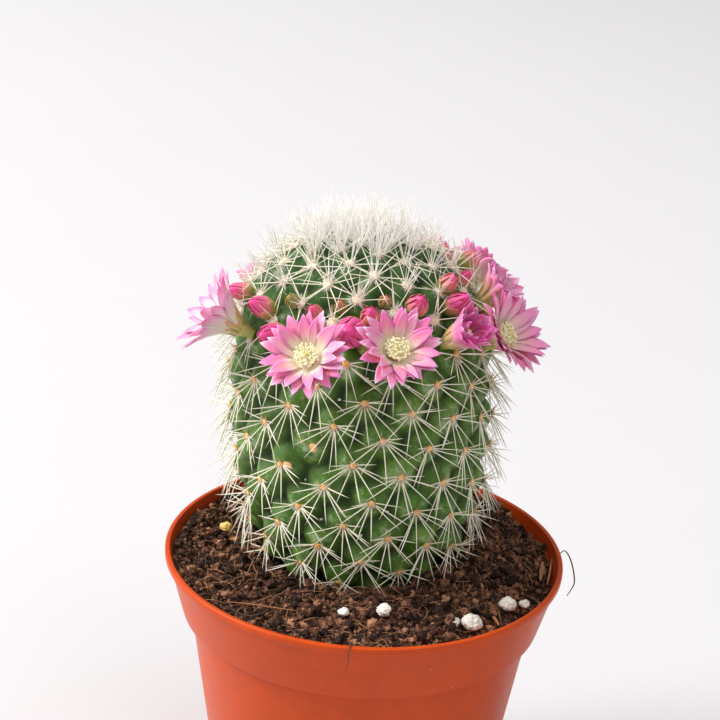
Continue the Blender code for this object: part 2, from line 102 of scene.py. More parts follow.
# Buds, in the order of their CAD nodes: redness of the tip from green to magenta
BUD_REDNESS = (1.0, 0.95, 0.8, 0.78, 0.15, 0.6, 0.3, 0.66, 0.3, 0.68, 0.8, 0.62, 0.95, 0.75, 0.5,
               0.4, 0.1, 0.5, 0.6, 0.45, 0.7, 0.5)


def linear(red, green, blue):
    """A screen colour, 0 to 255, as the linear one that shaders take."""
    shares = [value / 255 for value in (red, green, blue)]
    return tuple(share / 12.92 if share < 0.04045 else ((share + 0.055) / 1.055) ** 2.4
                 for share in shares)


# ---------------------------------------------------------------- settings

def length(name, description, default):
    return FloatProperty(name=name, description=description, default=default, min=0, unit="LENGTH",
                         precision=5)


def share(name, description, default):
    return FloatProperty(name=name, description=description, default=default, min=0, max=1,
                         subtype="FACTOR")


def angle(name, description, default):
    return FloatProperty(name=name, description=description, default=math.radians(default),
                         unit="ROTATION")


def count(name, description, default):
    return IntProperty(name=name, description=description, default=default, min=1)


def colour(name, description, *screen):
    return FloatVectorProperty(name=name, description=description, default=linear(*screen), size=3,
                               min=0, max=1, subtype="COLOR")


class PotSettings(PropertyGroup):
    """The plastic pot."""
    collar_top: length("Collar top radius", "Outer radius of the collar under the lip", 41.6 * MM)
    collar_foot: length("Collar foot radius", "Outer radius at the foot of the collar", 38.4 * MM)
    collar_height: length("Collar height", "Height of the collar", 13.8 * MM)
    wall_top: length("Wall top radius", "Outer radius of the wall under the collar", 36.7 * MM)
    taper: FloatProperty(name="Taper", description="Narrowing of the wall per height", default=0.157)
    wall: length("Wall", "Thickness of the plastic", 1.0 * MM)
    steps: count("Steps", "Facets round the pot", 192)
    plastic: colour("Plastic", "Colour of the pot", 205, 74, 18)
    roughness: share("Roughness", "Roughness of the plastic", 0.36)


class SoilSettings(PropertyGroup):
    """The compost and what lies on it."""
    at_wall: length("Depth at wall", "How far the soil stands below the rim", 2.6 * MM)
    fall: FloatProperty(name="Fall", description="Slope of the soil down towards +X", default=0.027)
    on_axis: length("Level on the axis", "Height over the rim that it slopes up to on the axis", 2.2 * MM)
    heap: FloatProperty(name="Heap", description="Slope round the stem, up towards +X", default=0.12)
    coarse: count("Coarse crumbs", "Number of coarse crumbs", 2000)
    fine: count("Fine crumbs", "Number of fine crumbs in each of three layers", 9600)
    fibres: count("Fibres", "Number of fibres in the soil", 420)
    dark: colour("Dark peat", "Colour of the moist peat", 44, 26, 17)
    light: colour("Light peat", "Colour of the dry peat", 206, 144, 110)
    fibre: colour("Fibre", "Colour of the plant fibres", 196, 142, 102)
    perlite: colour("Perlite", "Colour of the white grains", 244, 236, 224)
    wood: colour("Wood", "Colour of the splinters", 196, 134, 88)


class SkinSettings(PropertyGroup):
    """The green skin of the stem."""
    depth: length("Groove depth", "Depth of the grooves between full-sized tubercles", 2.6 * MM)
    columns: count("Columns", "Skin faces round the stem", 420)
    rows: count("Rows", "Skin faces from the crown to the soil", 200)
    face: colour("Skin", "Colour on the tubercles", 88, 132, 34)
    # The groove colour is painted shade: the grooves between the tubercles are darkened where shade falls in
    # them
    groove: colour("Grooves", "Colour between the tubercles", 34, 58, 18)
    # The bloom colour is partly the waxy bloom and partly painted highlight on the tubercles
    bloom_and_highlight: colour("Bloom", "Colour of the waxy bloom", 176, 192, 160)
    roughness: share("Roughness", "Roughness of the skin", 0.42)


class SpineSettings(PropertyGroup):
    """Spines, wool and hairs."""
    length: length("Length", "Length of a full-sized radial spine", 9.3 * MM)
    radius: length("Radius", "Radius of a spine near its base", 0.135 * MM)
    radials: count("Radials", "Radial spines to an areole", 11)
    rise: angle("Rise", "How far a spine lifts off the skin", 27)
    brush: length("Brush", "Length of the upright spines of the crown", 9.6 * MM)
    ivory: colour("Ivory", "Colour of the spines", 251, 246, 224)
    amber: colour("Amber", "Colour of the bases and of the tips", 196, 128, 70)
    wool: colour("Wool", "Colour of the young wool", 248, 240, 224)
    pad: colour("Pads", "Colour of the old areoles", 255, 220, 156)


class FlowerSettings(PropertyGroup):
    """The flowers that are open."""
    outer: count("Outer petals", "Petals of the outer whorl", 15)
    inner: count("Inner petals", "Petals of the inner whorl", 12)
    width: length("Width", "Width of a petal", 3.1 * MM)
    stamens: count("Stamens", "Stamens in a flower", 96)
    pink: colour("Pink", "Colour of the petals", 246, 134, 178)
    edge: colour("Edges", "Colour along the edges and at the tips", 234, 104, 180)
    stripe: colour("Stripe", "Colour along the middle of a petal", 250, 158, 168)
    magenta: colour("Magenta", "Colour of the petals that have just opened", 234, 62, 156)
    throat: colour("Throat", "Colour of the throat", 254, 240, 210)
    anther: colour("Anthers", "Colour of the anthers", 255, 250, 210)


class BudSettings(PropertyGroup):
    """The closed buds."""
    petals: count("Petals", "Petals folded over a bud", 9)
    tip: colour("Tip", "Colour of a ripe bud's tip", 214, 48, 132)
    side: colour("Side", "Colour of a bud's side", 222, 112, 108)
    green: colour("Base", "Colour of the green base and of young buds", 150, 152, 66)


class StageSettings(PropertyGroup):
    """Floor, light and camera."""
    floor: colour("Floor", "Colour of the floor", 214, 212, 213)
    floor_radius: length("Floor radius", "Radius of the round floor", 6.0)
    key: FloatProperty(name="Key", description="Power of the key light", default=128, unit="POWER")
    fill: FloatProperty(name="Fill", description="Power of the fill light", default=26, unit="POWER")
    sky: FloatProperty(name="Sky", description="Strength of the light all round", default=0.38)
    lens: FloatProperty(name="Lens", description="Focal length of the camera, in mm", default=97.65)


# ---------------------------------------------------------------- shapes in mesh code

def unit(vectors):
    return vectors / np.maximum(np.linalg.norm(vectors, axis=-1, keepdims=True), 1e-12)


def in_place(points):
    """Points of the plant's frame, in the frame of the part."""
    return points @ PLANT_TURN.T + PLANT_PLACE


def node_points(node):
    """Points of a CAD node, in the plant's frame."""
    points = np.array([vertex.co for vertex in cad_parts[node].data.vertices])
    return (points - PLANT_PLACE) @ PLANT_TURN


def field(points, size, offset=0.0, octaves=1):
    """Smooth noise from about -1 to 1 at each point, with bumps of that size."""
    shift = Vector((offset, 2 * offset, -offset))
    return np.array([noise.fractal(Vector(point) / size + shift, 1.0, 2.0, octaves)
                     for point in points.reshape(-1, 3)]).reshape(points.shape[:-1])


def tube_faces(tubes, rings, sides, first):
    """Quads along tubes of that many rings, and a cap on each of their ends."""
    start = first + np.arange(tubes)[:, None, None] * rings * sides
    ring = np.arange(rings - 1)[None, :, None] * sides
    side = np.arange(sides)[None, None, :]
    low, near = start + ring + side, start + ring + (side + 1) % sides
    quads = np.stack([low, near, near + sides, low + sides], -1).reshape(-1, 4)
    ends = start[:, 0] + np.arange(sides)
    return quads.tolist() + ends[:, ::-1].tolist() + (ends + (rings - 1) * sides).tolist()


class Shape:
    """Points, faces and point attributes of several parts, gathered into one mesh."""

    def __init__(self):
        self.points, self.faces, self.looks, self.parts = [], [], [], []
        self.total = 0

    def add(self, points, faces, **values):
        """Any mesh, whose faces count its own points from zero."""
        points = points.reshape(-1, 3)
        self.faces += [[self.total + corner for corner in face] for face in faces]
        self.gather(points, len(faces), 0, values)

    def add_tubes(self, rings, look=0, **values):
        """Closed tubes from an array of (tubes, rings, sides, 3)."""
        tubes, per_tube, sides, _ = rings.shape
        faces = tube_faces(tubes, per_tube, sides, self.total)
        self.faces += faces
        values = {name: np.broadcast_to(value, rings.shape[:-1]) for name, value in values.items()}
        self.gather(rings.reshape(-1, 3), len(faces), look, values)

    def gather(self, points, face_count, look, values):
        self.points.append(points)
        self.looks += [look] * face_count
        self.parts.append((len(points), {name: np.broadcast_to(value, points.shape[:-1]).ravel()
                                         if np.ndim(value) == 0 else np.asarray(value).ravel()
                                         for name, value in values.items()}))
        self.total += len(points)

    def finish(self, name, materials, slot, nodes=(), leaning=True):
        """The finished object, which rides on the plant's body and stands for those CAD nodes."""
        points = np.concatenate(self.points)
        if leaning:
            points = in_place(points)
        mesh = bpy.data.meshes.new(name)
        mesh.from_pydata(points.tolist(), [], self.faces)
        mesh.polygons.foreach_set("material_index", self.looks)
        for key in sorted({key for _, values in self.parts for key in values}):
            column = [values.get(key, np.zeros(size)) for size, values in self.parts]
            attribute = mesh.attributes.new(key, "FLOAT", "POINT")
            attribute.data.foreach_set("value", np.concatenate(column).astype(np.float32))
        mesh.shade_smooth()
        for material in materials:
            mesh.materials.append(material)
        made = linked(name, mesh)
        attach(made, BODY)
        if nodes:
            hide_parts(*nodes)
        return made


def linked(name, data):
    """A new object in the scene."""
    made = bpy.data.objects.new(name, data)
    bpy.context.scene.collection.objects.link(made)
    return made


def mesh_from(name, bm):
    """A mesh from a bmesh, which it frees."""
    mesh = bpy.data.meshes.new(name)
    bm.to_mesh(mesh)
    bm.free()
    return mesh


def steps_along(number):
    """How far along a strand each of its rings lies, shaped for many tubes."""
    return np.linspace(0, 1, number)[None, :, None]


def tones(rng, number):
    """A random tone to each of that many tubes."""
    return rng.uniform(0, 1, number)[:, None, None]


def copies_of(faces, number, points_each):
    """Faces of that many copies of a small mesh, one after another."""
    return (np.arange(number)[:, None, None] * points_each + faces).reshape(-1, 3).tolist()


def grid_faces(rows, columns):
    """Quads between closed rings of that many points."""
    row, side = np.arange(rows - 1)[:, None] * columns, np.arange(columns)[None]
    near = (side + 1) % columns
    return np.stack([row + side, row + columns + side, row + columns + near, row + near], -1).reshape(-1, 4)


def blade_section(columns):
    """How far across a blade each point of its section lies, and how far out of its middle plane."""
    over = np.linspace(1, -1, columns)
    place = np.concatenate([over, over[-2:0:-1]])
    side = np.concatenate([np.ones(columns), -np.ones(columns - 2)])
    return place, side * np.sqrt(np.clip(1 - place**2, 0, 1))


def up_and_aside(points, middle, axis):
    """How far each point lies along an axis through the middle, and how far away from it."""
    offset = points - middle
    up = offset @ axis
    return up, np.linalg.norm(offset - up[..., None] * axis, axis=-1)


def strand_rings(paths, radii, sides=5):
    """Rings round paths of (strands, points, 3), with a radius to each strand and point."""
    along = unit(np.gradient(paths, axis=1))
    mean = unit(paths[:, -1:] - paths[:, :1])
    helper = np.where(np.abs(mean[..., 2:]) < 0.8, [[[0.0, 0.0, 1.0]]], [[[1.0, 0.0, 0.0]]])
    across = unit(np.cross(along, np.broadcast_to(helper, along.shape)))
    over = np.cross(along, across)
    turn = math.tau * np.arange(sides) / sides
    radii = np.broadcast_to(radii, paths.shape[:2])[:, :, None, None]
    return paths[:, :, None] + radii * (across[:, :, None] * np.cos(turn)[:, None]
                                        + over[:, :, None] * np.sin(turn)[:, None])


def blade_rings(line, across, half_width, cup, thickness, columns=7):
    """Rings round thin blades, such as petals. Returns them and how far across each point lies.

    line and across are (blades, rows, 3), half_width is (blades, rows), and cup is how far the
    edges rise, as a share of the half width.
    """
    normal = unit(np.cross(np.gradient(line, axis=1), across))
    place, bulge = blade_section(columns)
    reach = half_width[:, :, None]
    lift = reach * cup * place**2 + bulge * thickness * np.clip(reach / (4 * thickness), 0, 1)
    rings = (line[:, :, None] + across[:, :, None] * (reach * place)[..., None]
             + normal[:, :, None] * lift[..., None])
    return rings, np.broadcast_to(place, rings.shape[:-1])


def bezier(corners, steps):
    """Points along Bezier curves from four corners, each (curves, 3)."""
    t = steps_along(steps)
    a, b, c, d = (corner[:, None] for corner in corners)
    return a * (1 - t)**3 + 3 * b * t * (1 - t)**2 + 3 * c * t**2 * (1 - t) + d * t**3


def icosphere(subdivisions):
    """Points and faces of a unit icosphere."""
    bm = bmesh.new()
    bmesh.ops.create_icosphere(bm, subdivisions=subdivisions, radius=1)
    points = np.array([vertex.co for vertex in bm.verts])
    faces = np.array([[vertex.index for vertex in face.verts] for face in bm.faces])
    bm.free()
    return points, faces


def random_turns(rng, number):
    """Rotation matrices, (number, 3, 3), turned evenly at random."""
    w, x, y, z = unit(rng.normal(size=(number, 4))).T
    rows = [1 - 2 * (y * y + z * z), 2 * (x * y - z * w), 2 * (x * z + y * w),
            2 * (x * y + z * w), 1 - 2 * (x * x + z * z), 2 * (y * z - x * w),
            2 * (x * z - y * w), 2 * (y * z + x * w), 1 - 2 * (x * x + y * y)]
    return np.stack(rows, -1).reshape(number, 3, 3)


def frame_of(direction):
    """Columns of a matrix whose Z is that direction and whose X is level."""
    z = unit(np.asarray(direction, float))
    x = unit(np.cross([0, 0, 1.0], z))
    return np.stack([x, np.cross(z, x), z], -1)


# ---------------------------------------------------------------- the stem's outline and areoles

def stem_radius(height):
    """Radius of the envelope that the tips of the tubercles lie on."""
    height = np.asarray(height, float)
    upper = height > STEM_WIDEST
    reach = np.where(upper, STEM_TOP - STEM_WIDEST, STEM_WIDEST - STEM_BOTTOM)
    inner = np.where(upper, TOP_POWERS[0], BOTTOM_POWERS[0])
    outer = np.where(upper, TOP_POWERS[1], BOTTOM_POWERS[1])
    along = np.clip(np.abs(height - STEM_WIDEST) / reach, 0, 1)
    return STEM_RADIUS * (1 - along**inner) ** (1 / outer)


def on_plant(azimuth, radius, height):
    """Points of the plant's frame: azimuth 0 is the side towards -Y, and +X is at 90 degrees."""
    return np.stack(np.broadcast_arrays(radius * np.sin(azimuth), -radius * np.cos(azimuth), height), -1)


def skin_frame(azimuth, height):
    """Outward, upward and sideways directions of the envelope, each (points, 3)."""
    step = 0.05 * MM
    height = np.clip(height, STEM_BOTTOM + 2 * step, STEM_TOP - 2 * step)
    slope = (stem_radius(height + step) - stem_radius(height - step)) / (2 * step)
    outward = unit(on_plant(azimuth, 1.0, -slope))
    sideways = on_plant(np.asarray(azimuth) + math.pi / 2, 1.0, 0.0)
    return outward, np.cross(outward, sideways), sideways


class Outline:
    """The stem's profile from the crown down, and the areoles that lie on it."""

    def __init__(self):
        fraction = np.linspace(0, 1, 4000)
        self.heights = STEM_TOP - (STEM_TOP - STEM_BOTTOM) * fraction**2
        self.radii = stem_radius(self.heights)
        steps = np.hypot(np.diff(self.heights), np.diff(self.radii))
        self.arc = np.concatenate([[0], np.cumsum(steps)])
        cell = BODY_CELL - (BODY_CELL - APEX_CELL) * np.exp(-self.arc / CELL_REACH)
        skin = math.pi * (self.radii[1:] + self.radii[:-1]) * steps
        tally = np.concatenate([[0], np.cumsum(2 * skin / (cell[1:] + cell[:-1]))])
        self.index = np.arange(1, AREOLES + 1)
        self.height = np.interp(self.index, tally, self.heights)
        self.azimuth = FIRST_AZIMUTH + GOLDEN_ANGLE * self.index
        self.place = on_plant(self.azimuth, stem_radius(self.height), self.height)
        self.outward, self.upward, self.sideways = skin_frame(self.azimuth, self.height)
        hexagon = 2 / math.sqrt(3)
        self.spacing = np.sqrt(hexagon * np.interp(self.index, tally, cell))
        self.size = self.spacing / math.sqrt(hexagon * BODY_CELL)

    def axes(self, place):
        """Columns of a matrix whose axes are sideways, upward and outward at an areole."""
        return np.stack([self.sideways[place], self.upward[place], self.outward[place]], -1)

    def height_at(self, arc):
        return np.interp(arc, self.arc, self.heights)

    def arc_at(self, height):
        return np.interp(-np.asarray(height), -self.heights, self.arc)


OUTLINE = Outline()


def groove_depth(points, full):
    """How deep each point lies in the grooves, (points,), when full is the depth between tubercles."""
    depth = np.empty(len(points))
    for start in range(0, len(points), 6000):
        offset = points[start:start + 6000, None] - OUTLINE.place[None]
        up = np.einsum("pak,ak->pa", offset, OUTLINE.upward)
        side = np.einsum("pak,ak->pa", offset, OUTLINE.sideways)
        out = np.einsum("pak,ak->pa", offset, OUTLINE.outward)
        up *= np.where(up > 0, 1.15, 0.88)  # a tubercle reaches further down than up
        away = np.sqrt(side**2 + up**2 + out**2) / (0.5 * OUTLINE.spacing)
        # A tubercle is a blunt cone that flares out, and the grooves are a smooth lowest of them all
        each = (0.45 * (np.sqrt(away**2 + 0.04) - 0.2) + 0.55 * away**2) * full * OUTLINE.size
        soft = 0.13 * full * OUTLINE.size.mean()
        lowest = each.min(1)
        depth[start:start + 6000] = lowest - soft * np.log(
            np.exp(-(each - lowest[:, None]) / soft).sum(1))
    return np.maximum(depth, 0)


# ---------------------------------------------------------------- shader nodes

def add(tree, kind, inputs=None, **settings):
    """A node with these settings, whose inputs are values or sockets to link from."""
    node = tree.nodes.new(kind)
    for key, value in settings.items():
        setattr(node, key, value)
    for key, value in (inputs or {}).items():
        if isinstance(value, bpy.types.NodeSocket):
            tree.links.new(value, node.inputs[key])
        else:
            node.inputs[key].default_value = value
    return node


def maths(tree, operation, first, second=0.5, clamp=False):
    return add(tree, "ShaderNodeMath", {0: first, 1: second}, operation=operation, use_clamp=clamp).outputs[0]


def times(tree, first, second):
    return maths(tree, "MULTIPLY", first, second)


def plus(tree, first, second):
    return maths(tree, "ADD", first, second)


def mixed(tree, factor, first, second):
    """One colour over another. The colours are sockets or linear triples."""
    inputs = {0: factor}
    for slot, value in ((6, first), (7, second)):
        inputs[slot] = value if isinstance(value, bpy.types.NodeSocket) else (*value[:3], 1)
    return add(tree, "ShaderNodeMix", inputs, data_type="RGBA").outputs[2]


def ramp(tree, factor, *stops):
    """A colour ramp through (position, linear colour) stops."""
    node = add(tree, "ShaderNodeValToRGB", {0: factor})
    elements = node.color_ramp.elements
    while len(elements) < len(stops):
        elements.new(0.5)
    for element, (position, shade) in zip(elements, stops):
        element.position = position
        element.color = (*shade[:3], 1)
    return node.outputs[0]


def levels(tree, value, low, high, to_low=0.0, to_high=1.0):
    """A value stretched from one range to another, and held inside it."""
    return add(tree, "ShaderNodeMapRange", {0: value, 1: low, 2: high, 3: to_low, 4: to_high}).outputs[0]


def attribute(tree, name):
    return add(tree, "ShaderNodeAttribute", attribute_name=name).outputs["Fac"]


def place_of(tree):
    return add(tree, "ShaderNodeTexCoord").outputs["Object"]


def along_grain(tree, *parts):
    """A vector from three values, each with its scale, so that a pattern follows a petal or splinter."""
    return add(tree, "ShaderNodeCombineXYZ", {slot: times(tree, value, scale)
                                              for slot, (value, scale) in enumerate(parts)}).outputs[0]


def node_group(name, inputs, outputs):
    """An empty shader group with these named inputs and outputs, its input node and output node."""
    group = bpy.data.node_groups.new(name, "ShaderNodeTree")
    for label, kind, default in inputs:
        socket = group.interface.new_socket(label, in_out="INPUT", socket_type=kind)
        if default is not None:
            socket.default_value = default
    for label, kind in outputs:
        group.interface.new_socket(label, in_out="OUTPUT", socket_type=kind)
    return group, group.nodes.new("NodeGroupInput").outputs, group.nodes.new("NodeGroupOutput").inputs


def mottle_group():
    """Uneven growth and dirt: soft blotches with finer ones in them."""
    group, given, out = node_group(
        "Mottle", (("Vector", "NodeSocketVector", None), ("Scale", "NodeSocketFloat", 500.0),
                   ("Low", "NodeSocketFloat", 0.35), ("High", "NodeSocketFloat", 0.65)),
        (("Mask", "NodeSocketFloat"), ("Height", "NodeSocketFloat")))
    broad = add(group, "ShaderNodeTexNoise", {"Vector": given["Vector"], "Scale": given["Scale"],
                                              "Detail": 4.0, "Roughness": 0.62})
    fine = add(group, "ShaderNodeTexNoise", {"Vector": given["Vector"], "Detail": 3.0, "Roughness": 0.6,
                                             "Scale": times(group, given["Scale"], 6.3)})
    both = add(group, "ShaderNodeMix", {0: 0.28, 2: broad.outputs["Fac"], 3: fine.outputs["Fac"]})
    mask = add(group, "ShaderNodeMapRange", {0: both.outputs[0], 1: given["Low"], 2: given["High"]},
               interpolation_type="SMOOTHSTEP")
    group.links.new(mask.outputs[0], out["Mask"])
    group.links.new(both.outputs[0], out["Height"])
    return group


def speck_group():
    """Scattered specks, such as dust, wax or grit. Amount is the share of cells that hold one."""
    group, given, out = node_group(
        "Specks", (("Vector", "NodeSocketVector", None), ("Scale", "NodeSocketFloat", 900.0),
                   ("Amount", "NodeSocketFloat", 0.1), ("Size", "NodeSocketFloat", 0.3)),
        (("Mask", "NodeSocketFloat"),))
    cells = add(group, "ShaderNodeTexVoronoi", {"Vector": given["Vector"], "Scale": given["Scale"]})
    chance = add(group, "ShaderNodeSeparateColor", {0: cells.outputs["Color"]}).outputs[0]
    held = maths(group, "LESS_THAN", chance, given["Amount"])
    grown = times(group, given["Size"], plus(group, chance, 1.0))
    near = maths(group, "SUBTRACT", grown, cells.outputs["Distance"])
    group.links.new(times(group, levels(group, near, 0.0, 0.12), held), out["Mask"])
    return group


def strand_group():
    """Colour of a spine or hair from its base to its tip, uneven from one strand to the next."""
    group, given, out = node_group(
        "Strand Tone", (("Base", "NodeSocketColor", (0.5, 0.3, 0.1, 1)),
                        ("Shaft", "NodeSocketColor", (0.9, 0.85, 0.7, 1)),
                        ("Tip", "NodeSocketColor", (0.5, 0.3, 0.1, 1)),
                        ("Base Reach", "NodeSocketFloat", 0.12),
                        ("Tip Amount", "NodeSocketFloat", 0.3)),
        (("Color", "NodeSocketColor"),))
    along, tone = attribute(group, "along"), attribute(group, "tone")
    base = levels(group, maths(group, "DIVIDE", along, given["Base Reach"]), 0.0, 1.0, 1.0, 0.0)
    tip = times(group, levels(group, along, 0.82, 1.0), given["Tip Amount"])
    tip = times(group, tip, levels(group, tone, 0.3, 0.7))
    shaft = mixed(group, levels(group, tone, 0.0, 1.0, 0.18, 0.0), given["Shaft"], given["Tip"])
    shaft = mixed(group, base, shaft, given["Base"])
    group.links.new(mixed(group, tip, shaft, given["Tip"]), out["Color"])
    return group


PALE_TIP = (0.93, 0.72, 0.88)  # lilac of a petal's tip, as a linear colour


def petal_group():
    """Colour of a petal from throat to tip: salmon along the middle, lilac at the edge, fine veins."""
    group, given, out = node_group(
        "Petal Tone", (("Throat", "NodeSocketColor", (0.8, 0.7, 0.4, 1)),
                       ("Stripe", "NodeSocketColor", (0.8, 0.2, 0.3, 1)),
                       ("Body", "NodeSocketColor", (0.8, 0.2, 0.5, 1)),
                       ("Edge", "NodeSocketColor", (0.8, 0.4, 0.7, 1)),
                       ("Tip", "NodeSocketColor", (*PALE_TIP, 1))),
        (("Color", "NodeSocketColor"), ("Height", "NodeSocketFloat")))
    along, over, tone = (attribute(group, name) for name in ("along", "over", "tone"))
    veins = along_grain(group, (over, 5.5), (along, 1.6), (tone, 40.0))
    broad = add(group, "ShaderNodeTexNoise", {"Vector": veins, "Scale": 1.6, "Detail": 3.0})
    fine = add(group, "ShaderNodeTexNoise", {"Vector": veins, "Scale": 5.0, "Detail": 2.0})
    streak = broad.outputs["Fac"]
    aside = plus(group, maths(group, "ABSOLUTE", over), levels(group, streak, 0.3, 0.7, -0.3, 0.3))
    shade = mixed(group, levels(group, aside, 0.1, 0.6), given["Stripe"], given["Body"])
    edge = times(group, levels(group, aside, 0.5, 1.05), levels(group, along, 0.35, 0.8))
    edge = maths(group, "MAXIMUM", edge, levels(group, along, 0.66, 0.92, 0.0, 0.8))
    shade = mixed(group, edge, shade, given["Edge"])
    pale = times(group, levels(group, along, 0.84, 1.0), levels(group, tone, 0.25, 0.8, 0.1, 0.8))
    shade = mixed(group, pale, shade, given["Tip"])
    deep = plus(group, along, levels(group, streak, 0.3, 0.7, -0.08, 0.08))
    shade = mixed(group, levels(group, deep, 0.34, 0.64, 1.0, 0.0), shade, given["Throat"])
    shade = mixed(group, levels(group, tone, 0.0, 1.0, 0.0, 0.16), shade, (1, 1, 1))
    group.links.new(shade, out["Color"])
    group.links.new(fine.outputs["Fac"], out["Height"])
    return group


GROUP_MAKERS = {"Mottle": mottle_group, "Specks": speck_group, "Strand Tone": strand_group,
                "Petal Tone": petal_group}


def effect(tree, name, **inputs):
    """A shared effect group placed in a material. Underscores in the input names stand for spaces."""
    node = tree.nodes.new("ShaderNodeGroup")
    node.node_tree = bpy.data.node_groups.get(name) or GROUP_MAKERS[name]()
    for key, value in inputs.items():
        socket = node.inputs[key.replace("_", " ")]
        if isinstance(value, bpy.types.NodeSocket):
            tree.links.new(value, socket)
        else:
            socket.default_value = (*value[:3], 1) if np.ndim(value) else value
    return node.outputs


class Finish:
    """A material with its Principled shader. Colour, roughness and bump are linked; the rest is set."""

    def __init__(self, name, **fixed):
        self.material = bpy.data.materials.new(name)
        self.material.use_nodes = True
        self.tree = self.material.node_tree
        self.shader = self.tree.nodes["Principled BSDF"]
        for key, value in fixed.items():
            self.shader.inputs[key.replace("_", " ")].default_value = value

    def mottle(self, scale, low, high, at=None):
        """The Mottle effect, over the whole object unless a vector is given."""
        at = place_of(self.tree) if at is None else at
        return effect(self.tree, "Mottle", Vector=at, Scale=scale, Low=low, High=high)

    def made(self, shade, height, rough, distance=None, strength=1.0, **links):
        """Links the colour, a roughness or the two that it runs between with the height, and a bump."""
        if isinstance(rough, tuple):
            rough = levels(self.tree, height, 0.3, 0.7, *rough)
        links.update(Base_Color=shade, Roughness=rough)
        if distance:
            bump = add(self.tree, "ShaderNodeBump", {"Height": height, "Distance": distance,
                                                     "Strength": strength})
            links["Normal"] = bump.outputs[0]
        for key, value in links.items():
            self.tree.links.new(value, self.shader.inputs[key.replace("_", " ")])
        return self.material


def dimmed(shade, share):
    return tuple(share * part for part in shade)


# ---------------------------------------------------------------- materials

def pot_material(pot):
    finish = Finish("pot_plastic", Specular_IOR_Level=0.2)
    tree = finish.tree
    mottle = finish.mottle(160.0, 0.3, 0.7)
    dust = effect(tree, "Specks", Vector=place_of(tree), Scale=620.0, Amount=0.035, Size=0.16)
    shade = mixed(tree, mottle["Mask"], dimmed(pot.plastic, 0.86), pot.plastic)
    shade = mixed(tree, times(tree, dust["Mask"], 0.55), shade, linear(236, 214, 200))
    rough = levels(tree, mottle["Height"], 0.3, 0.7, pot.roughness - 0.06, pot.roughness + 0.1)
    rough = plus(tree, rough, times(tree, dust["Mask"], 0.3))
    return finish.made(shade, mottle["Height"], rough, 0.03 * MM, 0.5)


def peat_material(soil, name, crumb):
    finish = Finish(name, Specular_IOR_Level=0.25)
    tree = finish.tree
    mottle, broad = finish.mottle(700.0, 0.36, 0.66), finish.mottle(120.0, 0.3, 0.7)
    shade = mixed(tree, mottle["Mask"], dimmed(soil.dark, 0.55), soil.dark)
    dry = levels(tree, broad["Height"], 0.36, 0.64, 0.1, 0.7)
    tone = attribute(tree, "tone")
    if crumb:
        dry = maths(tree, "MULTIPLY", levels(tree, tone, 0.25, 0.95, 0.05, 1.7), dry, clamp=True)
    shade = mixed(tree, times(tree, dry, mottle["Mask"]), shade, soil.light)
    if crumb:
        shade = mixed(tree, levels(tree, tone, 0.9, 0.99, 0.0, 0.6), shade, soil.fibre)
    grit = effect(tree, "Specks", Vector=place_of(tree), Scale=1500.0, Amount=0.05, Size=0.2)
    shade = mixed(tree, times(tree, grit["Mask"], 0.4), shade, soil.fibre)
    return finish.made(shade, mottle["Height"], (0.98, 0.78), 0.35 * MM)


def perlite_material(soil):
    finish = Finish("perlite_grain", Subsurface_Weight=0.1, Subsurface_Scale=1 * MM)
    tree = finish.tree
    mottle = finish.mottle(900.0, 0.34, 0.6)
    shade = mixed(tree, mottle["Mask"], dimmed(soil.perlite, 0.8), soil.perlite)
    shade = mixed(tree, attribute(tree, "yellow"), shade, linear(244, 204, 116))
    return finish.made(shade, mottle["Height"], (0.95, 0.8), 0.25 * MM)


def wood_material(soil):
    finish = Finish("wood_grain", Specular_IOR_Level=0.3)
    tree = finish.tree
    over, along, tone = (attribute(tree, name) for name in ("over", "along", "tone"))
    mottle = finish.mottle(1.8, 0.38, 0.62, along_grain(tree, (over, 4.0), (along, 3.0), (tone, 30.0)))
    shade = mixed(tree, mottle["Mask"], dimmed(soil.wood, 0.45), soil.wood)
    return finish.made(shade, mottle["Height"], (0.9, 0.65), 0.12 * MM)


def fibre_material(name, base, shaft):
    finish = Finish(name, Specular_IOR_Level=0.3)
    tree = finish.tree
    shade = effect(tree, "Strand Tone", Base=base, Shaft=shaft, Tip=base, Base_Reach=0.5, Tip_Amount=0.5)
    mottle = finish.mottle(800.0, 0.3, 0.7)
    shade = mixed(tree, times(tree, mottle["Mask"], 0.4), shade["Color"], base)
    return finish.made(shade, mottle["Height"], (0.6, 0.8))


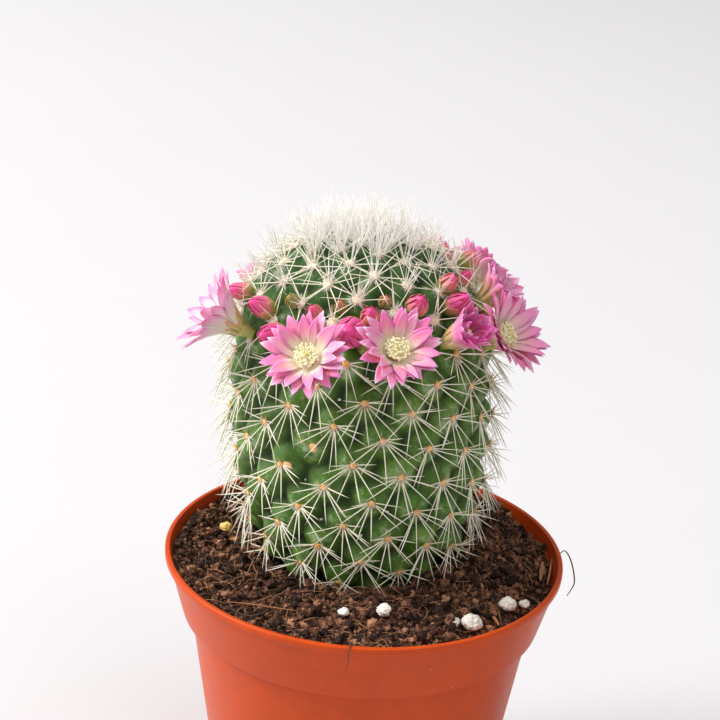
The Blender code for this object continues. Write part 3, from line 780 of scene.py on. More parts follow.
def skin_material(skin):
    finish = Finish("cactus_skin", Specular_IOR_Level=0.4, Coat_Roughness=0.25, Subsurface_Weight=0.05,
                    Subsurface_Radius=(0.6, 1.0, 0.3), Subsurface_Scale=1.5 * MM)
    tree = finish.tree
    broad, fine = finish.mottle(170.0, 0.34, 0.66), finish.mottle(900.0, 0.35, 0.65)
    blotch, texture = broad["Height"], fine["Height"]
    groove, dome, lower = (attribute(tree, name) for name in ("groove", "dome", "lower"))
    face = mixed(tree, broad["Mask"], dimmed(skin.face, 0.5), skin.face)
    face = mixed(tree, levels(tree, blotch, 0.52, 0.62, 0.0, 0.35), face, linear(132, 166, 52))
    face = mixed(tree, times(tree, dome, 0.85), face, linear(50, 92, 26))
    # Painted shade: the skin darkens towards the groove colour in the grooves between the tubercles, where
    # shade falls
    shade = mixed(tree, levels(tree, groove, 0.5, 1.05), face, skin.groove)
    # The bloom is partly real waxy bloom and partly painted highlight: it lies pale on the lower half of the
    # tubercles, where the highlights fall, and in patches all over
    bloom_and_highlight = times(tree, levels(tree, blotch, 0.5, 0.57), levels(tree, groove, 0.12, 0.55, 1.0, 0.0))
    bloom_and_highlight = times(tree, bloom_and_highlight, times(tree, lower, 0.9))
    bloom_and_highlight = times(tree, bloom_and_highlight, levels(tree, dome, 0.0, 1.0, 1.0, 0.25))
    patch = times(tree, finish.mottle(340.0, 0.54, 0.68)["Mask"], levels(tree, groove, 0.25, 0.75, 0.7, 0.0))
    bloom_and_highlight = maths(tree, "MAXIMUM", bloom_and_highlight, patch)
    shade = mixed(tree, bloom_and_highlight, shade, skin.bloom_and_highlight)
    wax = effect(tree, "Specks", Vector=place_of(tree), Scale=1300.0, Amount=0.10, Size=0.2)
    wax = times(tree, wax["Mask"], levels(tree, texture, 0.42, 0.6, 0.0, 0.55))
    shade = mixed(tree, wax, shade, linear(222, 226, 212))
    rough = levels(tree, texture, 0.3, 0.7, skin.roughness - 0.08, skin.roughness + 0.12)
    rough = plus(tree, rough, times(tree, bloom_and_highlight, 0.2))
    rough = plus(tree, rough, levels(tree, groove, 0.4, 0.9, 0.0, 0.3))
    coat = times(tree, levels(tree, blotch, 0.46, 0.6, 0.0, 0.7), levels(tree, groove, 0.3, 0.7, 1.0, 0.0))
    return finish.made(shade, texture, rough, 0.07 * MM, 0.7, Coat_Weight=coat)


def strand_material(name, base, shaft, tip, reach, tips, roughness=0.45):
    """Spines and wool, whose base colour reaches that far up and whose tips are tinted that much."""
    finish = Finish(name, Specular_IOR_Level=0.4, Subsurface_Weight=0.3,
                    Subsurface_Radius=(1.0, 0.95, 0.85), Subsurface_Scale=0.5 * MM)
    tree = finish.tree
    tone = effect(tree, "Strand Tone", Base=base, Shaft=shaft, Tip=tip, Base_Reach=reach, Tip_Amount=tips)
    mottle = finish.mottle(1100.0, 0.3, 0.7)
    shade = mixed(tree, times(tree, mottle["Mask"], 0.08), tone["Color"], tip)
    return finish.made(shade, mottle["Height"], (roughness - 0.08, roughness + 0.12))


def pad_material(name, light, dark):
    finish = Finish(name, Specular_IOR_Level=0.2)
    mottle = finish.mottle(1900.0, 0.36, 0.62)
    shade = mixed(finish.tree, mottle["Mask"], dark, light)
    return finish.made(shade, mottle["Height"], (0.95, 0.8), 0.2 * MM)


def petal_material(flowers):
    finish = Finish("petal_skin", Specular_IOR_Level=0.35, Subsurface_Weight=0.25,
                    Subsurface_Radius=(1.0, 0.4, 0.6), Subsurface_Scale=0.9 * MM,
                    Sheen_Weight=0.15, Sheen_Roughness=0.4)
    tree = finish.tree
    depth, pale = attribute(tree, "depth"), attribute(tree, "pale")
    body = mixed(tree, depth, flowers.pink, flowers.magenta)
    stripe = mixed(tree, depth, flowers.stripe, linear(240, 84, 150))
    edge = mixed(tree, depth, flowers.edge, linear(238, 84, 178))
    tip = mixed(tree, depth, PALE_TIP, linear(246, 128, 192))
    throat = mixed(tree, depth, flowers.throat, linear(236, 150, 170))
    # Paling towards white is partly the petals' own colour and partly painted highlight on inner petals that
    # the light washes out
    white = linear(253, 236, 247)
    tone = effect(tree, "Petal Tone", Throat=throat, Stripe=mixed(tree, pale, stripe, white),
                  Body=mixed(tree, pale, body, white), Edge=mixed(tree, pale, edge, flowers.magenta), Tip=tip)
    return finish.made(tone["Color"], tone["Height"], (0.36, 0.56), 0.05 * MM, 0.6)


def tube_material():
    finish = Finish("tube_skin", Specular_IOR_Level=0.4, Subsurface_Weight=0.15, Subsurface_Scale=0.8 * MM)
    tree = finish.tree
    mottle = finish.mottle(420.0, 0.35, 0.65)
    along = plus(tree, attribute(tree, "along"), levels(tree, mottle["Height"], 0.3, 0.7, -0.12, 0.12))
    shade = ramp(tree, along, (0.0, linear(136, 150, 66)), (0.35, linear(196, 186, 112)),
                 (0.7, linear(232, 158, 150)), (1.0, linear(236, 112, 160)))
    return finish.made(shade, mottle["Height"], (0.4, 0.6), 0.06 * MM)


def stamen_material(flowers):
    """Part 0 is the filaments, 1 the anthers and 2 the style."""
    finish = Finish("anther_powder", Specular_IOR_Level=0.3, Subsurface_Weight=0.2, Subsurface_Scale=0.4 * MM)
    tree = finish.tree
    part = attribute(tree, "part")
    mottle = finish.mottle(2600.0, 0.35, 0.62)
    shade = mixed(tree, levels(tree, part, 0.2, 0.6), linear(254, 246, 216), flowers.anther)
    shade = mixed(tree, levels(tree, part, 1.2, 1.6), shade, linear(240, 228, 140))
    shade = mixed(tree, times(tree, mottle["Mask"], 0.2), shade, linear(250, 226, 150))
    return finish.made(shade, mottle["Height"], (0.8, 0.6), 0.08 * MM)


def bud_material(buds):
    finish = Finish("bud_skin", Specular_IOR_Level=0.45, Subsurface_Weight=0.15, Subsurface_Scale=0.8 * MM)
    tree = finish.tree
    along, over, tone, red = (attribute(tree, name) for name in ("along", "over", "tone", "red"))
    mottle = finish.mottle(2.2, 0.36, 0.64, along_grain(tree, (over, 3.0), (along, 1.0), (tone, 50.0)))
    mask = mottle["Mask"]
    green = mixed(tree, mask, dimmed(buds.green, 0.75), buds.green)
    side = mixed(tree, mask, buds.side, linear(232, 150, 130))
    tip = mixed(tree, mask, buds.tip, linear(238, 92, 160))
    ripe = plus(tree, along, levels(tree, red, 0.0, 1.0, -0.95, 0.34))
    ripe = plus(tree, ripe, levels(tree, mottle["Height"], 0.3, 0.7, -0.08, 0.08))
    shade = mixed(tree, levels(tree, ripe, 0.12, 0.42), green, side)
    shade = mixed(tree, levels(tree, ripe, 0.5, 0.85), shade, tip)
    rim = times(tree, levels(tree, maths(tree, "ABSOLUTE", over), 0.62, 1.0, 0.0, 0.6),
                levels(tree, along, 0.1, 0.6))
    shade = mixed(tree, rim, shade, linear(240, 176, 168))
    return finish.made(shade, mottle["Height"], (0.36, 0.55), 0.05 * MM)


def floor_material(stage):
    finish = Finish("stage_floor", Specular_IOR_Level=0.1)
    mottle = finish.mottle(4.0, 0.3, 0.7)
    shade = mixed(finish.tree, mottle["Mask"], dimmed(stage.floor, 0.99), stage.floor)
    return finish.made(shade, mottle["Height"], (0.75, 0.85))


# ---------------------------------------------------------------- pot, soil and what lies on it

def wall_radius(pot, height):
    """Outer radius of the pot's wall under the collar."""
    return pot.wall_top - pot.taper * (POT_TOP - pot.collar_height - height)


def rounded(profile, radius, steps):
    """A profile with its corners rounded, as (radius, height) points."""
    points = np.array(profile)
    made = [points[0]]
    for before, corner, after in zip(points, points[1:], points[2:]):
        back, on = before - corner, after - corner
        reach = min(radius, 0.45 * np.linalg.norm(back), 0.45 * np.linalg.norm(on))
        start, end = corner + unit(back) * reach, corner + unit(on) * reach
        for t in np.linspace(0, 1, steps + 1):
            made.append(start * (1 - t) ** 2 + 2 * corner * t * (1 - t) + end * t**2)
    return np.array(made + [points[-1]])


def turned(profile, steps):
    """Points and faces of a solid of revolution from a profile that starts and ends on the axis."""
    turn = math.tau * np.arange(steps) / steps
    radius, height = profile[1:-1, 0], profile[1:-1, 1]
    rings = np.stack([radius[:, None] * np.cos(turn), radius[:, None] * np.sin(turn),
                      np.repeat(height[:, None], steps, 1)], -1)
    points = np.concatenate([rings.reshape(-1, 3), [[0, 0, profile[0, 1]], [0, 0, profile[-1, 1]]]])
    first, last, low = len(points) - 2, len(points) - 1, (len(radius) - 1) * steps
    fans = [[first, index, (index + 1) % steps] for index in range(steps)]
    fans += [[last, low + (index + 1) % steps, low + index] for index in range(steps)]
    return points, grid_faces(len(radius), steps).tolist() + fans


def build_pot(pot):
    """A turned pot with a lip, a collar, a raised floor inside its foot ring and drain holes."""
    foot_height, floor, foot_width = 2.0 * MM, 1.2 * MM, 2.2 * MM
    floor_top, collar_foot = foot_height + floor, POT_TOP - pot.collar_height
    foot, inside = wall_radius(pot, 0), wall_radius(pot, floor_top) - pot.wall
    lip = 1.5 * MM
    profile = (
        (0, floor_top), (inside, floor_top),
        (wall_radius(pot, collar_foot) - pot.wall, collar_foot + 0.4 * MM),
        (pot.collar_foot - pot.wall, collar_foot + 2.2 * MM),
        (POT_RADIUS - 1.15 * MM, POT_TOP - 0.4 * MM), (POT_RADIUS - 1.05 * MM, POT_TOP),
        (POT_RADIUS, POT_TOP), (POT_RADIUS, POT_TOP - lip),
        (pot.collar_top + 0.1 * MM, POT_TOP - lip - 0.25 * MM), (pot.collar_foot, collar_foot),
        (wall_radius(pot, collar_foot), collar_foot), (foot, 0), (foot - foot_width, 0),
        (foot - foot_width - 0.8 * MM, foot_height), (0, foot_height),
    )
    shape = Shape()
    shape.add(*turned(rounded(profile, 0.55 * MM, 4), pot.steps))
    made = shape.finish("flower_pot", [pot_material(pot)], "pot_plastic", ["pot"], leaning=False)
    drains, drain_radius, drain_circle = 6, 2.4 * MM, 17 * MM
    cutters = []
    for index in range(drains):
        turn = math.tau * (index + 0.5) / drains
        bm = bmesh.new()
        bmesh.ops.create_cone(bm, cap_ends=True, segments=32, radius1=drain_radius, radius2=drain_radius,
                              depth=6 * MM)
        bmesh.ops.translate(bm, verts=bm.verts, vec=(drain_circle * math.cos(turn),
                                                     drain_circle * math.sin(turn), foot_height))
        cutters.append(linked(f"drain_{index}", mesh_from("drain", bm)))
        cut = made.modifiers.new(f"drain_{index}", "BOOLEAN")
        cut.operation, cut.solver, cut.object = "DIFFERENCE", "EXACT", cutters[-1]
    apply_modifiers(made)
    for cutter in cutters:
        bpy.data.meshes.remove(cutter.data)
    made.data.set_sharp_from_angle(angle=math.radians(40))


def apply_modifiers(made):
    """Replaces the mesh of an object by what its modifiers make of it."""
    graph = bpy.context.evaluated_depsgraph_get()
    mesh = bpy.data.meshes.new_from_object(made.evaluated_get(graph), depsgraph=graph)
    made.modifiers.clear()
    old, made.data = made.data, mesh
    bpy.data.meshes.remove(old)


class Ground:
    """The soil's surface between the stem and the wall: it rises from the wall towards the stem."""

    BANK = (26 * MM, 24 * MM)  # middle of the soil that is heaped against the wall
    BANK_RADIUS, BANK_HEIGHT = 9 * MM, 2.0 * MM

    def __init__(self, soil, columns=380, rows=96):
        self.soil = soil
        self.wall = POT_RADIUS - 1.3 * MM - 0.27 * soil.at_wall
        self.azimuth = math.tau * np.arange(columns) / columns
        height = 0 * self.azimuth
        for _ in range(4):  # settles on the height at which the soil meets the stem
            inner = in_place(on_plant(self.azimuth, stem_radius(height) + 0.1 * MM, height))
            height += self.level(inner) - inner[:, 2]
        inner = inner[:, :2]
        reach = self.wall * (1 - 0.3 * soil.fall * np.sin(self.azimuth))
        outer = on_plant(self.azimuth, reach, 0.0)[:, :2]
        part = np.linspace(0, 1, rows)[:, None, None]
        flat = inner + (outer - inner) * part
        points = np.concatenate([flat, np.zeros((*flat.shape[:2], 1))], -1)
        points[..., 2] = self.level(points)
        points[..., 2] += self.lumps(points) * np.minimum(1, 0.4 + 3 * (1 - part[..., 0]))
        self.points = points

    def level(self, points):
        """Height of the smooth surface at each point."""
        part = np.minimum(np.hypot(points[..., 0], points[..., 1]) / self.wall, 1)
        middle = self.soil.on_axis + self.soil.heap * points[..., 0]
        wall = -self.soil.at_wall - self.soil.fall * points[..., 0]
        away = np.hypot(points[..., 0] - self.BANK[0], points[..., 1] - self.BANK[1]) / self.BANK_RADIUS
        bank = self.BANK_HEIGHT * np.exp(-away**2 / 2)
        return POT_TOP + middle + (wall - middle) * part**1.6 + bank

    def lumps(self, points):
        """Crumbly relief: clods, billows and grit."""
        clods = field(points, 7 * MM, 3.0, 3)
        billow = 1 - 2 * np.abs(field(points, 2.6 * MM, 9.0, 2))
        grit = field(points, 0.9 * MM, 5.0, 2)
        return (1.2 * clods + 0.9 * billow + 0.6 * grit - 1.1) * MM

    def tree(self):
        faces = grid_faces(*self.points.shape[:2])
        return BVHTree.FromPolygons(self.points.reshape(-1, 3).tolist(), faces.tolist())


def scattered(rng, number, ground, clear=0.6 * MM):
    """Points between the stem and the pot's wall, evenly spread, as x and y."""
    azimuth, part = rng.uniform(0, math.tau, number), np.sqrt(rng.uniform(0.24, 1, number))
    flat = on_plant(azimuth, part * (ground.wall - clear), 0.0)[:, :2]
    # Those that would fall inside the stem lie close round it instead
    stem = flat - PLANT_PLACE[:2]
    bank = stem_radius(-1 * MM) + rng.uniform(-0.8, 2.2, number) * MM
    inside = np.hypot(stem[:, 0], stem[:, 1]) < bank
    flat[inside] = PLANT_PLACE[:2] + (unit(stem) * bank[:, None])[inside]
    return flat


def heights_on(tree, flat):
    """Height of the surface under each x and y."""
    down = Vector((0, 0, -1))
    found = [tree.ray_cast(Vector((x, y, POT_TOP + 20 * MM)), down)[0] for x, y in flat]
    return np.array([POT_TOP - 4 * MM if hit is None else hit.z for hit in found])


def lump_shapes(kinds, subdivisions, roughness):
    """Differently dented icospheres, (kinds, points, 3), and their shared faces."""
    points, faces = icosphere(subdivisions)
    made = [points * (1 + roughness * field(points, 0.9, 11.0 * kind + 3, 2))[:, None]
            for kind in range(kinds)]
    return np.array(made), faces


def add_lumps(shape, rng, flat, heights, sizes, kinds, faces):
    """Crumbs of those sizes, each turned and squashed at random, standing on the surface."""
    number = len(flat)
    chosen = kinds[rng.integers(0, len(kinds), number)]
    stretch = rng.uniform(0.5, 1.3, (number, 1, 3)) * sizes[:, None, None] / 2
    points = np.einsum("npk,njk->npj", chosen * stretch, random_turns(rng, number))
    sink = 0.15  # how much of its size a crumb is pressed in
    centre = np.column_stack([flat, heights + sizes * (0.5 - sink) * 0.8])
    points += centre[:, None]
    tone = np.repeat(rng.uniform(0, 1, number), kinds.shape[1])
    shape.add(points, copies_of(faces, number, kinds.shape[1]), tone=tone)


def build_soil(soil, pot):
    """The filling of the pot, closed round the underground part of the stem, and its crumbs."""
    ground = Ground(soil)
    rng = np.random.default_rng(11)
    # Rings down the pit round the stem, then over the top and down the pot's inside
    depths = np.linspace(-4 * MM, STEM_BOTTOM, 12)
    pit = [in_place(on_plant(ground.azimuth, stem_radius(depth) + 0.3 * MM, depth)) for depth in depths]
    bottom, inside = 3.5 * MM, 1.3 * MM
    collar_foot = POT_TOP - pot.collar_height
    outside = ((pot.collar_foot - pot.wall - 0.4 * MM, collar_foot + 2.4 * MM),
               (wall_radius(pot, collar_foot) - pot.wall - 0.4 * MM, collar_foot),
               (wall_radius(pot, bottom) - pot.wall - inside, bottom), (2 * MM, bottom))
    walls = [on_plant(ground.azimuth, radius, height) for radius, height in outside]
    rings = np.array(pit[::-1] + list(ground.points) + walls)[None, :, ::-1]
    shape = Shape()
    shape.add_tubes(rings)
    shape.finish("peat_soil", [peat_material(soil, "peat", False)], "peat", ["soil"], leaning=False)
    tree = ground.tree()
    crumb = peat_material(soil, "peat_crumb", True)
    for name, number, subdivisions, low, high in (("coarse", soil.coarse, 2, 0.7, 2.4),
                                                  ("middling", soil.fine, 1, 0.4, 1.0),
                                                  ("fine", soil.fine, 1, 0.25, 0.6),
                                                  ("finest", soil.fine, 1, 0.22, 0.5)):
        flat = scattered(rng, number, ground)
        sizes = (low + (high - low) * rng.uniform(0, 1, number) ** 2.2) * MM
        kinds, faces = lump_shapes(14, subdivisions, 0.8)
        shape = Shape()
        add_lumps(shape, rng, flat, heights_on(tree, flat), sizes, kinds, faces)
        made = shape.finish(f"peat_crumbs_{name}", [crumb], "peat", leaning=False)
        made.data.shade_flat()
    return tree, ground


def lying_paths(rng, tree, ground, number, low, high, rise):
    """Curved paths of 7 points that lie on the soil."""
    start = scattered(rng, number, ground, 2 * MM)
    heading = rng.uniform(0, math.tau, number)
    reach = rng.uniform(low, high, number)
    bend = rng.normal(0, 0.16, number)
    t = np.linspace(0, 1, 7)[None]
    turn = heading[:, None] + bend[:, None] * t * 2
    flat = start[:, None] + (reach[:, None] * t)[..., None] * np.stack([np.cos(turn), np.sin(turn)], -1)
    radius = np.hypot(flat[..., 0], flat[..., 1])
    flat *= np.minimum(1, (ground.wall - 0.5 * MM) / radius)[..., None]
    height = heights_on(tree, flat.reshape(-1, 2)).reshape(number, 7)
    chord = np.linspace(0, 1, 7) * (height[:, -1:] - height[:, :1]) + height[:, :1]
    height = np.maximum(0.4 * height + 0.6 * chord, height - 0.2 * MM)  # it bridges the hollows
    height += rng.uniform(0.1, rise / MM, (number, 1)) * MM * (0.4 + np.sin(math.pi * t))
    return np.concatenate([flat, height[..., None]], -1)


def build_fibres(soil, tree, ground):
    """Plant fibres in the soil, the loose one over the front of the rim and the hair beside it."""
    rng = np.random.default_rng(23)
    number = soil.fibres
    paths = lying_paths(rng, tree, ground, number, 2 * MM, 8 * MM, 1.1 * MM)
    taper = np.array([0.4, 0.9, 1.0, 1.0, 0.9, 0.7, 0.25])
    radii = rng.uniform(0.03, 0.09, (number, 1)) * MM * taper
    shape = Shape()
    shape.add_tubes(strand_rings(paths, radii), along=steps_along(7), tone=tones(rng, number))
    light = fibre_material("fibre_light", dimmed(soil.fibre, 0.4), soil.fibre)
    shape.finish("soil_fibres", [light], "wood_fibre", leaning=False)
    loose = (
        ("rim_fibre", 0.13, ((-1.0, -34.0, 68.3), (-1.4, -38.5, 70.8), (-1.5, -41.4, 72.3),
                             (-1.8, -42.9, 71.6), (-1.7, -43.2, 69.6), (-2.1, -43.1, 67.4))),
        ("side_hair", 0.16, ((42.0, 2.0, 72.7), (42.9, 1.5, 73.7), (44.0, 0.5, 72.6), (44.9, -0.5, 70.3),
                             (45.3, -1.5, 67.9), (44.8, -2.0, 66.5), (43.9, -2.5, 65.0))),
        ("left_fibre", 0.12, ((-29.9, -25.4, 70.4), (-25.7, -28.5, 70.8), (-21.7, -30.5, 70.9),
                              (-17.5, -27.7, 71.5), (-13.4, -23.4, 71.5))),
        ("wall_fibre", 0.24, ((41.0, 7.0, 70.4), (40.3, 2.0, 69.8), (39.7, -2.3, 69.6),
                              (39.0, -6.4, 69.4))),
    )
    dark = fibre_material("fibre_dark", linear(58, 40, 32), linear(104, 76, 60))
    rings = 25
    for name, radius, corners in loose:
        path = smooth_path(np.array(corners) * MM, rings)
        widths = radius * MM * (0.35 + 0.65 * np.sin(np.linspace(0.25, 2.9, rings)))
        shape = Shape()
        shape.add_tubes(strand_rings(path[None], widths[None], 7), along=steps_along(rings), tone=0.8)
        shape.finish(name, [light if name == "wall_fibre" else dark], "wood_fibre", leaning=False)


def smooth_path(corners, steps):
    """A smooth curve through the corners."""
    t = np.linspace(0, len(corners) - 1, steps)
    slopes = np.gradient(corners, axis=0)
    low = np.clip(t.astype(int), 0, len(corners) - 2)
    u = (t - low)[:, None]
    h0, h1 = 2 * u**3 - 3 * u**2 + 1, u**3 - 2 * u**2 + u
    h2, h3 = -2 * u**3 + 3 * u**2, u**3 - u**2
    return h0 * corners[low] + h1 * slopes[low] + h2 * corners[low + 1] + h3 * slopes[low + 1]


def build_crumbs(soil):
    """The white perlite grains and the wood splinters, where the model has them."""
    nodes = sorted(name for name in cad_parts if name.startswith(("perlite", "wood")))
    grain_material, wood = perlite_material(soil), wood_material(soil)
    for index, node in enumerate(nodes):
        low, high = (np.array(corner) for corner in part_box(node))
        middle, size = (low + high) / 2, high - low
        shape = Shape()
        if node.startswith("perlite"):
            points, faces = icosphere(5)
            dents = 0.26 * field(points, 0.9, 7.3 * index, 3) - 0.16 * np.clip(
                field(points, 0.33, 3.1 * index, 2), 0, 1)
            points = points * (1 + dents)[:, None] * size / 2 + middle
            shape.add(points, faces.tolist(), yellow=np.full(len(points), float(node == "perlite_7")))
            shape.finish(f"grain_{node[-1]}", [grain_material], "perlite", [node], leaning=False)
            continue
        points = np.array([vertex.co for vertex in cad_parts[node].data.vertices])
        axis = np.linalg.svd(points - points.mean(0), full_matrices=False)[2][0]
        reach = (points - middle) @ axis
        rng = np.random.default_rng(40 + index)
        rows, sides = 24, 10
        t = np.linspace(0, 1, rows)
        line = middle + axis * (reach.min() + (reach.max() - reach.min()) * t)[:, None]
        line[:, 2] += 0.12 * MM * np.sin(5 * t)
        turn = math.tau * np.arange(sides) / sides
        across = unit(np.cross(axis, [0, 0, 1.0]))
        width = (0.18 if node == "wood_sliver_2" else 0.42) * MM
        width = width * np.sin(np.linspace(0.12, 2.95, rows))**0.45
        rough = 1 + 0.30 * rng.normal(size=(1, sides)) + 0.10 * rng.normal(size=(rows, sides))
        rings = (line[:, None] + across * (width[:, None] * np.cos(turn) * rough)[..., None]
                 + np.array([0, 0, 0.55]) * (width[:, None] * np.sin(turn) * rough)[..., None])
        shape.add_tubes(rings[None], along=t[None, :, None], over=np.cos(turn)[None, None],
                        tone=0.2 * index)
        shape.finish(f"splinter_{node[-1]}", [wood], "wood_fibre", [node], leaning=False)


# ---------------------------------------------------------------- the stem and its spines

def build_skin(skin):
    """The stem as one closed body, with a tubercle under each areole. Returns its points and depths."""
    rows, columns = skin.rows, skin.columns
    low_arc = OUTLINE.arc_at(-5 * MM)  # the fine rows end a little under the soil
    arcs = np.concatenate([[0.35 * MM], np.linspace(0, low_arc, rows)[1:],
                           np.linspace(low_arc, OUTLINE.arc[-1] - 0.5 * MM, 12)[1:]])
    heights = OUTLINE.height_at(arcs)
    azimuth = math.tau * np.arange(columns) / columns
    grid = on_plant(azimuth[None], stem_radius(heights)[:, None], heights[:, None])
    outward = skin_frame(azimuth[None] + 0 * heights[:, None], heights[:, None] + 0 * azimuth[None])[0]
    flat = grid.reshape(-1, 3)
    depth = groove_depth(flat, skin.depth).reshape(grid.shape[:2])
    uneven = 0.16 * MM * field(flat, 4.5 * MM, 2.0, 2) + 0.035 * MM * field(flat, 1.0 * MM, 6.0, 2)
    above = np.clip((heights + 9 * MM) / (6 * MM), 0, 1)[:, None]  # what is underground is smooth
    sink = depth * above - uneven.reshape(depth.shape) * np.clip(depth / (0.6 * MM), 0, 1)
    points = grid - outward * sink[..., None]
    dome = np.clip((heights - 50 * MM) / (9 * MM), 0, 1)[:, None] + 0 * depth
    nearest = nearest_areole(flat)
    # lower marks the lower half of each tubercle, where the skin material puts the bloom and its painted
    # highlight
    below = ((OUTLINE.place[nearest] - flat) * OUTLINE.upward[nearest]).sum(-1)
    lower = np.clip(0.5 + below / (4 * MM), 0, 1).reshape(depth.shape)
    # groove also sets where the skin material paints shade in the grooves
    groove = np.clip(depth / (skin.depth * OUTLINE.size[nearest].reshape(depth.shape)), 0, 1.2)
    shape = Shape()
    shape.add_tubes(points[None, ::-1], groove=groove[None, ::-1], dome=dome[None, ::-1],
                    lower=lower[None, ::-1])
    shape.finish("cactus_stem", [skin_material(skin)], "cactus_skin", ["stem"])
    return points, depth


def nearest_areole(points):
    found = np.empty(len(points), int)
    for start in range(0, len(points), 8000):
        away = np.linalg.norm(points[start:start + 8000, None] - OUTLINE.place[None], axis=-1)
        found[start:start + 8000] = away.argmin(1)
    return found


def flower_facts(number):
    """Head, foot, axis, petal length and spread of a flower, read from its CAD nodes."""
    corolla = node_points(f"flower_{number:02d}")
    tuft = node_points(f"stamens_{number:02d}").mean(0)
    lowest = corolla[np.argmin(np.hypot(corolla[:, 0], corolla[:, 1]))]
    foot = corolla[np.linalg.norm(corolla - lowest, axis=1) < 2.3 * MM].mean(0)
    away = np.linalg.norm(corolla - tuft, axis=1)
    away[np.linalg.norm(corolla - foot, axis=1) < 4 * MM] = 0
    tips = np.unique(np.round(corolla[away > 0.9 * away.max()], 6), axis=0)
    axis = np.linalg.svd(tips - tips.mean(0))[2][2]
    axis *= np.sign(axis @ (tuft - foot))
    head = tuft - axis * TUFT_LIFT
    height, radius = (values.mean() for values in up_and_aside(tips, head, axis))
    radius -= THROAT
    return {"head": head, "foot": foot, "axis": axis, "turn": frame_of(axis),
            "petal": math.hypot(radius, height), "spread": math.atan2(radius, height)}


def bud_facts(number):
    """Middle, axis, length and width of a bud, read from its CAD node."""
    points = node_points(f"bud_{number:02d}")
    points = np.unique(np.round(points, 6), axis=0)
    middle = (points.min(0) + points.max(0)) / 2
    _, _, axes = np.linalg.svd(points - points.mean(0))
    axis = axes[0] * np.sign(axes[0] @ (middle * [1, 1, 0.0] + [0, 0, 8 * MM]))
    along, aside = up_and_aside(points, middle, axis)
    middle = middle + axis * (along.max() + along.min()) / 2
    return {"middle": middle, "axis": axis, "length": np.ptp(along), "width": 2 * aside.max()}


def clear_of_flowers(paths, flowers, buds):
    """Which of the paths, (strands, points, 3), stay out of the flowers and the buds."""
    clear = np.ones(len(paths), bool)
    tail = paths[:, 1:]
    for flower in flowers:
        up, aside = up_and_aside(tail, flower["head"], flower["axis"])
        cone = THROAT + np.clip(up, 0, None) * math.tan(min(flower["spread"], 1.15)) + 0.6 * MM
        before = (up > -0.6 * MM) & (up < 9 * MM) & (aside < np.minimum(cone, THROAT + flower["petal"]))
        tube = (up <= -0.6 * MM) & (up > -7 * MM) & (aside < 2.0 * MM)
        clear &= ~(before | tube).any(1)
    for bud in buds:
        up, aside = up_and_aside(tail, bud["middle"], bud["axis"])
        clear &= ~((np.abs(up) < 0.5 * bud["length"]) & (aside < 0.5 * bud["width"])).any(1)
    return clear


def spine_paths(rng, index, turn, rise, reach, bend=0.06, points=5):
    """Paths of spines from areoles: turn from upward, rise off the skin and length of each."""
    out, up, side = OUTLINE.outward[index], OUTLINE.upward[index], OUTLINE.sideways[index]
    flat = up * np.cos(turn)[:, None] + side * np.sin(turn)[:, None]
    heading = flat * np.cos(rise)[:, None] + out * np.sin(rise)[:, None]
    drift = unit(rng.normal(size=heading.shape)) * 0.6 - out * 0.8
    t = steps_along(points)
    start = OUTLINE.place[index] + flat * 0.35 * MM - out * 0.15 * MM
    return start[:, None] + (heading[:, None] * t + drift[:, None] * bend * t**2) * reach[:, None, None]


def build_spines(spines, flowers, buds):
    """Radial and central spines of every areole between the soil and the brush of the crown."""
    rng = np.random.default_rng(5)
    height = OUTLINE.height
    shown = (height > 0.5 * MM) & (height <= BRUSH_FROM) & ~np.isin(OUTLINE.index, SCARS)
    dome = np.clip((height - 50 * MM) / (7 * MM), 0, 1)
    old, young = [], []
    fan = np.radians([-76, 76, -96, 96, -114, 114, -133, 133, -156, 156, 180])[:spines.radials]
    fan_reach = np.array([0.55, 0.5, 0.78, 0.74, 0.95, 0.92, 1.0, 1.0, 1.0, 1.0, 0.98])
    for place in np.flatnonzero(shown):
        if dome[place] < rng.uniform(0.25, 0.75):
            number = len(fan)
            turn = fan + rng.normal(0, 0.10, number)
            reach = spines.length * fan_reach[:number] * rng.uniform(0.85, 1.08, number)
            rise = spines.rise + rng.normal(0, 0.10, number)
            keep = rng.uniform(0, 1, number) > 0.08
            old.append((place, turn[keep], rise[keep], reach[keep]))
        else:
            number = int(rng.integers(9, 12))
            turn = (np.arange(number) + rng.uniform(0, 1)) * math.tau / number
            turn += rng.normal(0, 0.12, number)
            reach = spines.length * (0.66 + 0.34 * OUTLINE.size[place]) * rng.uniform(0.82, 1.06, number)
            rise = np.radians(20) + rng.normal(0, 0.12, number)
            young.append((place, turn, rise, reach))
            number = int(rng.integers(1, 3))
            young.append((place, rng.uniform(-0.9, 0.9, number), np.radians(rng.uniform(58, 80, number)),
                          spines.length * rng.uniform(0.62, 0.8, number)))
    old_look = strand_material("spine_old", spines.amber, spines.ivory, linear(214, 176, 120), 0.12, 0.45)
    young_look = strand_material("spine_young", spines.wool, spines.ivory, linear(214, 164, 120), 0.05, 0.35)
    for name, groups, material, radius in (("radial_spines", old, old_look, spines.radius),
                                           ("dome_spines", young, young_look, 0.9 * spines.radius)):
        index = np.concatenate([np.full(len(turn), place) for place, turn, _, _ in groups])
        turn, rise, reach = (np.concatenate([group[part] for group in groups]) for part in (1, 2, 3))
        paths = spine_paths(rng, index, turn, rise, reach)
        paths = paths[clear_of_flowers(paths, flowers, buds)]
        add_spines(name, paths, radius * rng.uniform(0.85, 1.15, len(paths)), material, rng)


def add_spines(name, paths, radii, material, rng):
    """Needles with a slightly swollen base and a sharp tip."""
    number, rings = paths.shape[:2]
    taper = np.interp(np.linspace(0, 1, rings), [0, 0.08, 0.5, 0.85, 1], [1.15, 1.0, 0.86, 0.55, 0.12])
    shape = Shape()
    shape.add_tubes(strand_rings(paths, radii[:, None] * taper), along=steps_along(rings),
                    tone=tones(rng, number))
    shape.finish(name, [material], "cactus_skin")


